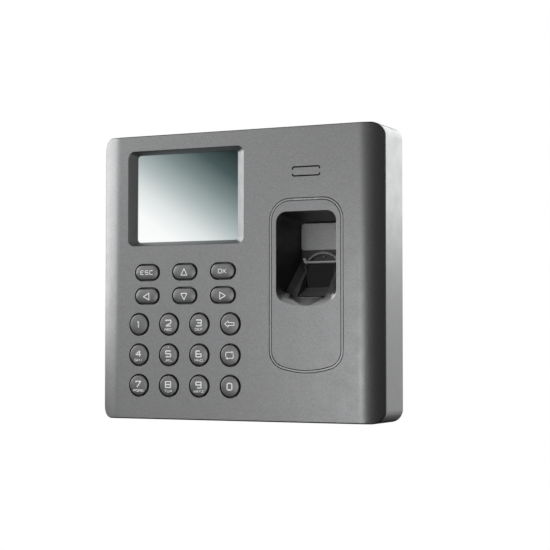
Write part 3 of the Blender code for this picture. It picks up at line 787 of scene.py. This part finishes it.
def rounded_path(points, closed, radius):
    """Rounds the corners of a path, and adds points so that it can follow a curved surface."""
    count = len(points)
    path = []
    for i, point in enumerate(points):
        here = Vector(point)
        if not closed and i in (0, count - 1):
            path.append(here)
            continue
        before, after = Vector(points[i - 1]) - here, Vector(points[(i + 1) % count]) - here
        trim = min(radius, before.length * 0.45, after.length * 0.45)
        start, end = here + before.normalized() * trim, here + after.normalized() * trim
        for step in range(5):
            part = step / 4
            path.append(start * (1 - part) ** 2 + here * 2 * part * (1 - part) + end * part**2)
    fine = []
    for i in range(len(path) if closed else len(path) - 1):
        start, end = path[i], path[(i + 1) % len(path)]
        pieces = max(1, math.ceil((end - start).length / 0.5))
        fine += [start.lerp(end, step / pieces) for step in range(pieces)]
    return fine if closed else fine + [path[-1]]


def add_stroke(shape, points, closed, half, surface, radius=0.5, proud=0.045):
    """A low raised line of ink along a path on the key's domed top."""
    path = rounded_path(points, closed, radius)
    count = len(path)
    right = [(1.0, 0.06), (0.93, -proud * 0.8), (0.75, -proud)]
    rings = []
    for i, here in enumerate(path):
        ahead = path[(i + 1) % count] if closed or i < count - 1 else here
        behind = path[i - 1] if closed or i > 0 else here
        along = (ahead - behind).normalized()
        across = Vector((-along.y, along.x)) * half
        ring = []
        for sideways, lift in right + [(-sideways, lift) for sideways, lift in reversed(right)]:
            spot = here + across * sideways
            ring.append(place(spot.x, surface(spot.x, spot.y) + lift, spot.y))
        rings.append(ring)
    if closed:
        join_rings(shape, rings, closed=True)
    else:
        rings_into(shape, rings)


def add_patch(shape, corners, surface, proud=0.045):
    """A filled patch of ink on the key's domed top."""
    rings_into(shape, [[place(x, surface(x, z) + lift, z) for x, z in corners] for lift in (0.1, -proud)])


def add_legend(shape, name, hole):
    x, z, length, height = hole

    def surface(at_x, at_z):
        return key_top(length, height, at_x - x, at_z - z)

    def draw(strokes, half, radius=0.5):
        for points, closed in strokes:
            add_stroke(shape, points, closed, half, surface, radius)

    if name in WORDS:
        draw(text_strokes(WORDS[name], x, z - WORD[0], *WORD[1:]), 0.165, 0.25)
    elif name in TRIANGLES:
        spin = Matrix.Rotation(math.radians(TRIANGLES[name]), 2)
        points = [tuple(Vector((x, z - 0.25)) + spin @ Vector(corner)) for corner in TRIANGLE]
        draw([(points, True)], 0.21, 0.15)
    elif name == "back":
        draw([([(x + a, z + b) for a, b in ARROW], True)], 0.19, 0.15)
    elif name == "repeat":
        half_x, half_z = 1.8, 1.3
        for side in (1, -1):
            path = [(-half_x, -0.75), (-half_x, half_z), (1.1, half_z)]
            draw([([(x + side * a, z + side * b) for a, b in path], False)], 0.21, 0.6)
            head = [(0.9, half_z + 0.62), (0.9, half_z - 0.62), (2.0, half_z)]
            add_patch(shape, [(x + side * a, z + side * b) for a, b in head], surface)
    elif name in LETTERS:
        draw(text_strokes(name, x, z - DIGIT[0], *DIGIT[1:]), 0.27, 0.2)
        text = LETTERS[name]
        pitch = 1.3 if len(text) > 3 else 1.4
        draw(text_strokes(text, x, z - LETTER_FOOT, *LETTER_SIZE, pitch), 0.1, 0.15)
    else:
        draw(text_strokes(name, x, z - LONE_DIGIT[0], *LONE_DIGIT[1:]), 0.29, 0.7)
    if name == "5":
        add_loft(shape, [(circle(x, z + NIB_HEIGHT, radius, 16), depth) for radius, depth in NIB])


# The scanner insert


def scallop_outline(low, radius):
    """The section of the hollow in the finger lip: an arc below, straight above."""
    across = [SCALLOP_HALF * (step / 12 - 1) for step in range(25)]
    outline = [(INSERT_X + x, low + radius - math.sqrt(radius**2 - x**2)) for x in across]
    top = FINGER_BOTTOM + 9.5
    return outline + [(INSERT_X + SCALLOP_HALF, top), (INSERT_X - SCALLOP_HALF, top)]


def scallop_sections():
    """Sections of that hollow: narrow where it starts at the face, wide and flat at the well."""
    low = LIP_BOTTOM - FINGER_BOTTOM - SCALLOP_DEPTH
    steps = ((-0.1, 9.4, -1.0), (0.0, 9.4, 0.1), (low / 2, 20.0, LIP_DEPTH / 2))
    steps += ((low, 36.0, LIP_DEPTH), (low + 0.3, 36.0, 4.9))
    return [(scallop_outline(FINGER_BOTTOM + rise, radius), depth) for rise, radius, depth in steps]


def finger_sections():
    """Sections of the finger opening, whose lower edge rises along a curve to the well."""
    start = finger_outline(0.35, FINGER_BOTTOM - 0.2)
    sections = [(start, -1.0), (start, 0.0)]
    steps = ((0.13, LIP_START), (0.03, 0.2), (0.0, 0.4), (-0.07, 0.8), (-0.15, 1.3), (-0.25, LIP_DEPTH))
    for grow, depth in steps:
        part = (depth - LIP_START) / (LIP_DEPTH - LIP_START)
        bottom = FINGER_BOTTOM + (LIP_BOTTOM - FINGER_BOTTOM) * part**LIP_CURVE
        sections.append((finger_outline(grow, bottom), depth))
    end = finger_outline(-0.3, LIP_BOTTOM)
    return sections + [(end, LIP_DEPTH + 0.2), (end, 6.0)]


def make_insert(looks):
    face = SEAM * 2 + RING_WIDTH
    sections = rounded_edge(lambda inset: insert_outline(face + inset), 0.15)
    sections += [(insert_outline(face), 2.9), (insert_outline(-1.9), 2.9), (insert_outline(-1.9), 4.1)]
    bezel = solid("scanner_face", add_loft, sections)
    cut(bezel, add_loft, finger_sections())
    cut(bezel, add_loft, scallop_sections())
    show(bezel, looks["body"], ["scanner_bezel"])

    def in_mouth(x, depth, z):
        return depth > 0.3 and z > FINGER_BOTTOM + 5.0 and abs(x - INSERT_X) < FINGER_HALF + 0.1

    paint(bezel, looks["well"], in_mouth)

    for name, node, half, operation, look in (
        ("trim_ring", "insert_ring", LIGHT_HALF + 0.1, "DIFFERENCE", "ring"),
        ("light_guide", "status_light_guide", LIGHT_HALF, "INTERSECT", "light"),
    ):
        edge = rounded_edge(lambda inset: insert_outline(SEAM + inset), 0.12)
        ring = solid(name, add_loft, edge + [(insert_outline(SEAM), 2.6)])
        cut(ring, add_loft, flared(lambda grow: insert_outline(SEAM + RING_WIDTH - grow), 0.12, -1.0, 4.0))
        shape = bmesh.new()
        add_box(shape, around(INSERT_X, half), (-2.0, 6.0), (20.0, 40.0))
        carve(ring, shape, operation)
        show(ring, looks[look], [node])


def rounded_edge(outline, radius):
    """Sections of a solid whose front edge is rounded, from the flat front to the start of its side."""
    sections = []
    for step in range(4):
        turn = math.radians(90 * step / 3)
        sections.append((outline(radius * (1 - math.sin(turn))), radius * (1 - math.cos(turn))))
    return sections


def well_outline(depth, grow=0.0):
    """The inside of the finger well at a depth: it narrows towards its back."""
    part = (depth - WELL_FRONT) / WELL_LENGTH
    bottom = LIP_BOTTOM - 0.2 + 1.5 * part - grow
    top = FINGER_TOP - 0.3 - 2.9 * part + grow
    return rounded_rectangle(around(INSERT_X, 13.4 - 2.5 * part + grow), (bottom, top), 3.0 + grow)


def make_well(looks):
    shell = [(well_outline(WELL_FRONT, 1.2), 4.15), (well_outline(20.0, 1.2), 20.8)]
    well = solid("well_shell", add_loft, shell)
    inside = [(well_outline(WELL_FRONT, 0.3), 3.0), (well_outline(WELL_FRONT), WELL_FRONT)]
    inside += [(well_outline(19.0), 19.0), (well_outline(19.6, -0.5), 19.6)]
    cut(well, add_loft, inside)
    show(well, looks["well"], ["scanner_well"])

    panel = rounded_rectangle(around(INSERT_X, PANEL_HALF), PANEL_Z, 1.2)
    rim = rounded_rectangle(around(INSERT_X, PANEL_HALF - 0.2), grown(PANEL_Z, -0.2), 1.1)
    panel = solid("well_back_panel", add_loft, [(rim, 18.9), (panel, 19.1), (panel, 19.58)])
    show(panel, looks["panel"])

    make_arch(looks)
    make_cradle(looks)


def make_arch(looks):
    """The rounded hood over the scanner's light, below the back panel."""
    rings = []
    for x, z in arc(INSERT_X, HOOD_CENTRE_Z, HOOD_RADIUS, *HOOD_ARC, 40):
        out = Vector((x - INSERT_X, z - HOOD_CENTRE_Z)).normalized()
        rings.append([place(x + out.x * reach, depth, z + out.y * reach) for reach, depth in HOOD_SECTION])
    hood = solid("light_hood", rings_into, rings)
    show(hood, looks["hood"], smooth=60.0)

    x, _, z = span("scanner_light")
    dome = [(circle(sum(x) / 2, sum(z) / 2, radius, 24), depth) for radius, depth in DIODE_DOME]
    diode = solid("scanner_diode", add_loft, dome)
    show(diode, looks["diode"], ["scanner_light"], 60.0)


def make_cradle(looks):
    lean = math.radians(SENSOR_LEAN)

    def on_slope(along, inside):
        """A point (depth, z) on the leaning face: along it from its foot, and inside it."""
        depth = SENSOR_FOOT[0] + math.sin(lean) * along + math.cos(lean) * inside
        return depth, SENSOR_FOOT[1] + math.cos(lean) * along - math.sin(lean) * inside

    def slab(along, inside):
        """A rectangle between two places along the leaning face and two inside it."""
        (low, high), (near, far) = along, inside
        return [on_slope(low, near), on_slope(high, near), on_slope(high, far), on_slope(low, far)]

    top = on_slope(SENSOR_LENGTH, 0.0)
    block = [(6.6, -9.3), SENSOR_FOOT, top, (top[0] + 2.2, top[1]), (18.6, 0.0), (18.6, -7.6)]
    cradle = solid("cradle_block", add_side_prism, block, around(INSERT_X, SENSOR_HALF))
    pocket = slab((0.3, SENSOR_LENGTH - 0.5), (-2.0, 1.6))
    cut(cradle, add_side_prism, pocket, around(INSERT_X, SENSOR_HALF - 0.3))
    soften(cradle, 0.15)
    show(cradle, looks["cradle"], ["sensor_cradle"])

    plate = slab((0.45, SENSOR_LENGTH - 0.65), (0.25, 1.4))
    glass = solid("sensor_window", add_side_prism, plate, around(INSERT_X, SENSOR_HALF - 0.4))
    soften(glass, 0.12)
    show(glass, looks["glass"], ["sensor_glass"])

    near, far = top[0] - 0.1, top[0] + 2.3
    low, high = CRADLE_LIP_Z
    bar = [(near, low), (near, high), (far, high), (far, low)]
    lip = solid("cradle_lip", add_side_prism, bar, around(INSERT_X, CRADLE_LIP_HALF))
    soften(lip, 0.15)
    show(lip, looks["panel"])
    for side in (-1, 1):
        tab = [(INSERT_X + side * x, z) for x, z in CRADLE_TAB]
        name = "cradle_tab_right" if side > 0 else "cradle_tab_left"
        piece = solid(name, add_loft, [(tab, depth) for depth in CRADLE_TAB_DEPTH])
        soften(piece, 0.12)
        show(piece, looks["panel"])
        make_trough(side, looks)

    half, depth, z = FINGER_REST
    rest = solid("finger_rest", add_box, around(INSERT_X, half), depth, z)
    soften(rest, 0.2)
    show(rest, looks["cradle"])


def make_trough(side, looks):
    """The ledge and groove that run back along one side of the sensor."""
    sections = []
    for step in range(9):
        part = step / 8
        outline = [
            (INSERT_X + side * (a[0] + (b[0] - a[0]) * part), a[1] + (b[1] - a[1]) * part)
            for a, b in zip(TROUGH_NEAR, TROUGH_FAR)
        ]
        sections.append((outline, TROUGH_FRONT + TROUGH_LENGTH * part))
    trough = solid("trough_right" if side > 0 else "trough_left", add_loft, sections)
    show(trough, looks["cradle"])


# Display, boards and back


def make_display(looks):
    x, (front, back), z = span("display_window")
    sections = [
        (rounded_rectangle(grown(x, -inset), grown(z, -inset), 1.5), depth)
        for inset, depth in ((0.15, front - 0.2), (0.0, front), (0.0, back))
    ]
    window = solid("window", add_loft, sections)
    # The window carries the display's painted reflection, an emitted sheen.
    show(window, looks["display"], ["display_window"])


def make_screws(looks):
    """Pan heads seen from the back, each with a cross recess and its shank towards the front."""
    for kind, count, head in (("case_screw", 6, 1.3), ("board_screw", 4, 1.2)):
        for number in range(1, count + 1):
            node = "%s_%d" % (kind, number)
            x, (tip, back), z = span(node)
            centre = (sum(x) / 2, sum(z) / 2)
            radius = (x[1] - x[0]) / 2
            profile = ((0.4, tip), (0.4, back - head), (1.0, back - head), (1.0, back - 0.5))
            profile += ((0.86, back - 0.15), (0.6, back))
            sections = [(circle(*centre, radius * size, 32), depth) for size, depth in profile]
            screw = solid(node + "_fastener", add_loft, sections)
            for wide, tall in ((0.15, 0.6), (0.6, 0.15)):
                bar_x, bar_z = around(centre[0], radius * wide), around(centre[1], radius * tall)
                cut(screw, add_box, bar_x, (back - 0.7, back + 1.0), bar_z)
            show(screw, looks["steel"], [node])


def plate_sections(outline, front, back, edge):
    """Sections of a flat plate whose edges are rounded; outline(grow) is its outline."""
    steps = ((edge, front), (edge * 0.3, front + edge * 0.3), (0.0, front + edge))
    steps += ((0.0, back - edge), (edge * 0.3, back - edge * 0.3), (edge, back))
    return [(outline(-inset), depth) for inset, depth in steps]


def hole_sections(outline, front, back, chamfer):
    """Sections of a cutter through a plate, flared at both faces; outline(grow) is the hole's outline."""
    steps = ((chamfer, front - 1.0), (chamfer, front), (0.0, front + chamfer))
    steps += ((0.0, back - chamfer), (chamfer, back), (chamfer, back + 1.0))
    return [(outline(grow), depth) for grow, depth in steps]


def mouth_sections(outline, floor, back, flare):
    """Sections of a blind hole from the back, flared where it opens; outline(grow) is the hole's outline."""
    steps = ((0.0, floor), (0.0, back - flare), (flare, back), (flare, back + 1.0))
    return [(outline(grow), depth) for grow, depth in steps]


def box_outline(x, z, radius, steps=4):
    """A rounded rectangle as a function of how much it grows on every side."""
    return lambda grow: rounded_rectangle(grown(x, grow), grown(z, grow), radius + grow, steps)


def make_rear_cover(looks):
    x, (front, back), z = span("rear_cover")
    outline = box_outline(x, z, CORNER_RADIUS - SHELL)
    cover = solid("rear_shell", add_loft, plate_sections(outline, front, back, 0.25))
    holes = [box_outline(CABLE_X, CABLE_Z, 2.0)]
    for across in HOOK_CENTRES_X:
        for low in HOOK_BOTTOMS_Z:
            hole_z = grown((low - LIFT, low + HOOK_NECK), 0.3)
            holes.append(box_outline(around(across, HOOK_WIDTH / 2 + 0.3), hole_z, 0.4))
    holes.append(box_outline(around(SECURITY_X, 6.0), (z[0] - 4.0, -46.5), 0.6))
    shape = bmesh.new()
    for hole in holes:
        add_loft(shape, hole_sections(hole, front, back, 0.2))
    for number in range(1, 7):
        screw_x, _, screw_z = span("case_screw_%d" % number)
        centre = (sum(screw_x) / 2, sum(screw_z) / 2)
        add_loft(shape, hole_sections(lambda grow: circle(*centre, 1.7 + grow, 32), front, back, 0.15))
    carve(cover, shape)
    show(cover, looks["black"], ["rear_cover"])


def make_wall_plate(looks):
    x, (tab_front, back), z = span("wall_plate")
    front = back - PLATE_THICKNESS
    outline = box_outline(x, (-z[1], z[1]), 4.0)
    plate = solid("steel_plate", add_loft, plate_sections(outline, front, back, 0.2))
    notch_x, _, notch_z = span("case_screw_5")
    slots = [box_outline(grown(CABLE_X, 1.0), grown(CABLE_Z, 1.0), 3.0)]
    slots.append(box_outline(grown(notch_x, 0.6), (-z[1] - 3.0, notch_z[1] + LIFT + 0.6), 0.8))
    shape = bmesh.new()
    for slot in slots:
        add_loft(shape, hole_sections(slot, front, back, 0.15))
    for centre in WALL_SCREWS:
        length, height = WALL_SLOT
        slot = hole_sections(lambda grow: stadium(*centre, length + grow, height + grow), front, back, 0.2)
        add_loft(shape, slot)
    carve(plate, shape)
    show(plate, looks["steel"], ["wall_plate"], body="wall_plate")

    lip = HOOK_LIP
    bend = 1.5
    for number, (across, low) in enumerate(((a, b) for a in HOOK_CENTRES_X for b in HOOK_BOTTOMS_Z), 1):
        top = low + HOOK_HEIGHT
        inner = lip[1] + 0.4
        outline = [(back - 0.3, low)] + arc(lip[0] + bend, low + bend, bend, 270, 180, 6)
        outline += arc(sum(lip) / 2, top - 0.6, (lip[1] - lip[0]) / 2, 180, 0, 8)
        outline += arc(inner, low + HOOK_NECK + 0.4, 0.4, 180, 270, 4) + [(back - 0.3, low + HOOK_NECK)]
        hook = solid("hook_%d" % number, add_side_prism, outline, around(across, HOOK_WIDTH / 2))
        soften(hook, 0.12)
        show(hook, looks["steel"], body="wall_plate")

    low = -z[1]
    tab = [(SECURITY_X - 5.0, back - 0.5)] + arc(SECURITY_X - 3.5, tab_front + 1.5, 1.5, 180, 270, 5)
    tab += arc(SECURITY_X + 3.5, tab_front + 1.5, 1.5, 270, 360, 5) + [(SECURITY_X + 5.0, back - 0.5)]
    piece = solid("screw_tab", add_upright_loft, [(tab, low), (tab, low + 1.5)])
    hole = circle(SECURITY_X, SECURITY_DEPTH, 1.9, 32)
    cut(piece, add_upright_loft, [(hole, low - 1.0), (hole, low + 3.0)])
    soften(piece, 0.12)
    show(piece, looks["steel"], body="wall_plate")


def make_network_jack(looks):
    x, (front, back), z = span("network_jack")
    shell = solid("network_shell", add_box, x, (front, back), z)
    soften(shell, 0.25)
    middle, floor, mouth_top = sum(x) / 2, back - 10.5, z[1] - 2.6
    mouth = box_outline(grown(x, -2.1), (z[0] + 2.8, mouth_top), 0.4)
    cut(shell, add_loft, mouth_sections(mouth, floor, back, 0.3))
    keyway = box_outline(around(middle, 3.2), (z[0] + 1.2, z[0] + 4.0), 0.3)
    cut(shell, add_loft, mouth_sections(keyway, back - 7.0, back, 0.2))
    show(shell, looks["tin"], ["network_jack"])
    inside = grown(x, -1.9)

    def in_mouth(at_x, depth, at_z):
        beside = inside[0] < at_x < inside[1]
        return beside and floor - 0.1 < depth < back - 0.25 and z[0] + 1.0 < at_z < z[1] - 2.0

    paint(shell, looks["black"], in_mouth)

    wire = [(floor + 0.5, mouth_top - 3.6), (back - 1.6, mouth_top - 0.45)]
    wire += [(back - 1.6, mouth_top - 0.1), (floor + 0.5, mouth_top - 3.25)]
    shape = bmesh.new()
    for number in range(8):
        add_side_prism(shape, wire, around(middle + (number - 3.5) * 1.02, 0.22))
    show(to_object("network_contacts", shape), looks["gold"])


def make_power_jack(looks):
    x, (front, back), z = span("power_jack")
    centre = (sum(x) / 2, sum(z) / 2)
    shell = solid("power_shell", add_box, x, (front, back), z)
    soften(shell, 0.3)
    cut(shell, add_loft, mouth_sections(lambda grow: circle(*centre, 3.15 + grow), back - 9.0, back, 0.5))
    show(shell, looks["black"], ["power_jack"])
    profile = ((1.0, back - 9.1), (1.0, back - 2.2), (0.75, back - 1.75), (0.3, back - 1.6))
    pin = solid("power_pin", add_loft, [(circle(*centre, radius, 24), depth) for radius, depth in profile])
    show(pin, looks["tin"])


def make_usb_port(looks):
    x, (front, back), z = span("usb_port")
    shell = solid("usb_shell", add_box, x, (front, back), z)
    soften(shell, 0.3)
    mouth_x, mouth_depth = grown(x, -1.0), grown((front, back), -0.95)
    mouth = box_outline(mouth_x, mouth_depth, 0.4, 3)
    steps = ((0.35, z[0] - 1.0), (0.35, z[0]), (0.0, z[0] + 0.5), (0.0, z[0] + 10.0))
    cut(shell, add_upright_loft, [(mouth(grow), height) for grow, height in steps])
    show(shell, looks["tin"], ["usb_port"])

    near = mouth_depth[1] - 1.9
    tongue = rounded_rectangle(grown(mouth_x, -1.0), (near, near + 1.5), 0.2, 3)
    tongue = solid("usb_tongue", add_upright_loft, [(tongue, z[0] + 1.2), (tongue, z[0] + 10.2)])
    show(tongue, looks["tongue"])
    shape = bmesh.new()
    for across in (-3.5, -1.0, 1.0, 3.5):
        add_box(shape, around(sum(x) / 2 + across, 0.5), (near - 0.1, near + 0.05), (z[0] + 1.8, z[0] + 9.0))
    show(to_object("usb_contacts", shape), looks["gold"])


def make_security_screw(looks):
    x, depth, z = span("security_screw")
    centre = (sum(x) / 2, sum(depth) / 2)
    radius = (x[1] - x[0]) / 2
    head = ((radius - 0.4, z[0]), (radius - 0.1, z[0] + 0.1), (radius, z[0] + 0.35), (radius, z[0] + 1.7))
    profile = head + ((1.5, z[0] + 1.7), (1.5, z[1] - 0.8), (1.0, z[1]))
    sections = [(circle(*centre, size, 40), height) for size, height in profile]
    screw = solid("security_fastener", add_upright_loft, sections)
    lobes = []
    for step in range(48):
        turn = 2 * math.pi * step / 48
        reach = 1.25 + 0.22 * math.cos(6 * turn)
        lobes.append((centre[0] + reach * math.cos(turn), centre[1] + reach * math.sin(turn)))
    cut(screw, add_upright_loft, [(lobes, z[0] - 0.5), (lobes, z[0] + 1.2)])
    show(screw, looks["steel"], ["security_screw"])


def make_inside(looks):
    """The pieces that stay behind the covers keep their modelled shape."""
    inner = {
        "display_gasket": "black",
        "lcd_panel": "glass",
        "lcd_backlight": "tin",
        "display_flex": "ribbon",
        "keypad_membrane": "rubber",
        "main_board": "board",
        "processor": "black",
        "memory_chip": "black",
        "battery_holder": "black",
        "clock_battery": "steel",
        "speaker": "black",
        "scanner_board": "board",
        "scanner_camera": "black",
    }
    for node, look in inner.items():
        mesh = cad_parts[node].data
        mesh.materials.clear()
        mesh.materials.append(looks[look])


# Camera, light and floor


def make_camera():
    data = bpy.data.cameras.new("view")
    data.sensor_width = FILM_WIDTH
    data.lens = FOCAL_PIXELS / PHOTO_PIXELS * FILM_WIDTH
    data.clip_end = 50.0
    camera = bpy.data.objects.new("view", data)
    bpy.context.scene.collection.objects.link(camera)
    camera.location = place(*CAMERA_PLACE)
    turn = Matrix((CAMERA_RIGHT, CAMERA_UP, -Vector(CAMERA_AHEAD))).transposed()
    camera.rotation_euler = turn.to_euler()
    bpy.context.scene.camera = camera


def make_softbox(name, centre, facing, size, radiance):
    """A soft light at centre that faces along a direction; size is its width and height in metres."""
    data = bpy.data.lights.new(name, "AREA")
    data.shape = "RECTANGLE"
    data.size, data.size_y = size
    data.energy = radiance * size[0] * size[1] * SOFTBOX_UNIT
    lamp = bpy.data.objects.new(name, data)
    bpy.context.scene.collection.objects.link(lamp)
    lamp.location = centre
    lamp.rotation_euler = Vector(facing).to_track_quat("-Z", "Y").to_euler()
    lamp.visible_camera = False


def seen_only(tree, seen, unseen):
    """One shader for what the camera sees directly, and another for the light that reaches the object."""
    mixed = tree.nodes.new("ShaderNodeMixShader")
    path = tree.nodes.new("ShaderNodeLightPath")
    tree.links.new(path.outputs["Is Camera Ray"], mixed.inputs[0])
    tree.links.new(unseen, mixed.inputs[1])
    tree.links.new(seen, mixed.inputs[2])
    return mixed.outputs[0]


def make_world():
    """A white backdrop. Its light on the object is dim in front, stronger from behind and weak from above."""
    world = bpy.data.worlds.new("studio")
    bpy.context.scene.world = world
    world.use_nodes = True
    tree = world.node_tree
    tree.nodes.clear()
    where = tree.nodes.new("ShaderNodeTexCoord").outputs["Generated"]
    split = tree.nodes.new("ShaderNodeSeparateXYZ")
    tree.links.new(where, split.inputs[0])
    backward = map_range(tree, split.outputs["Y"], (0.0, 0.6), (WORLD_FRONT, WORLD_BACK))
    upward = map_range(tree, split.outputs["Z"], (0.3, 0.9), (1.0, WORLD_TOP))
    product = tree.nodes.new("ShaderNodeMath")
    product.operation = "MULTIPLY"
    for number, step in enumerate((backward, upward)):
        step.interpolation_type = "SMOOTHSTEP"
        tree.links.new(step.outputs["Result"], product.inputs[number])
    lit, plain = (tree.nodes.new("ShaderNodeBackground") for _ in range(2))
    for shader in (lit, plain):
        shader.inputs["Color"].default_value = (1.0, 1.0, 1.0, 1.0)
    tree.links.new(product.outputs["Value"], lit.inputs["Strength"])
    output = tree.nodes.new("ShaderNodeOutputWorld")
    tree.links.new(seen_only(tree, plain.outputs[0], lit.outputs[0]), output.inputs["Surface"])


def make_floor():
    shape = bmesh.new()
    corners = [(-12.0, -12.0), (12.0, -12.0), (12.0, 12.0), (-12.0, 12.0)]
    shape.faces.new([shape.verts.new((x, y, FLOOR_Z)) for x, y in corners])
    floor = to_object("floor", shape)
    look = Look("floor_white", (0.12, 0.12, 0.12), 0.8)
    glow = look.node("ShaderNodeEmission", Color=(1.0, 1.0, 1.0, 1.0), Strength=1.0)
    surface = seen_only(look.tree, glow.outputs[0], look.shader.outputs[0])
    look.tree.links.new(surface, look.tree.nodes["Material Output"].inputs["Surface"])
    floor.data.materials.append(look.material)


def make_stage():
    make_world()
    make_floor()
    for softbox in SOFTBOXES:
        make_softbox(*softbox)
    bpy.context.scene.view_settings.view_transform = "Standard"


def main():
    looks = main_looks()
    make_camera()
    make_stage()
    make_housing(looks)
    for name, hole in key_holes().items():
        make_key(name, hole, looks)
    make_insert(looks)
    make_well(looks)
    make_display(looks)
    make_screws(looks)
    make_rear_cover(looks)
    make_wall_plate(looks)
    make_network_jack(looks)
    make_power_jack(looks)
    make_usb_port(looks)
    make_security_screw(looks)
    make_inside(looks)


main()
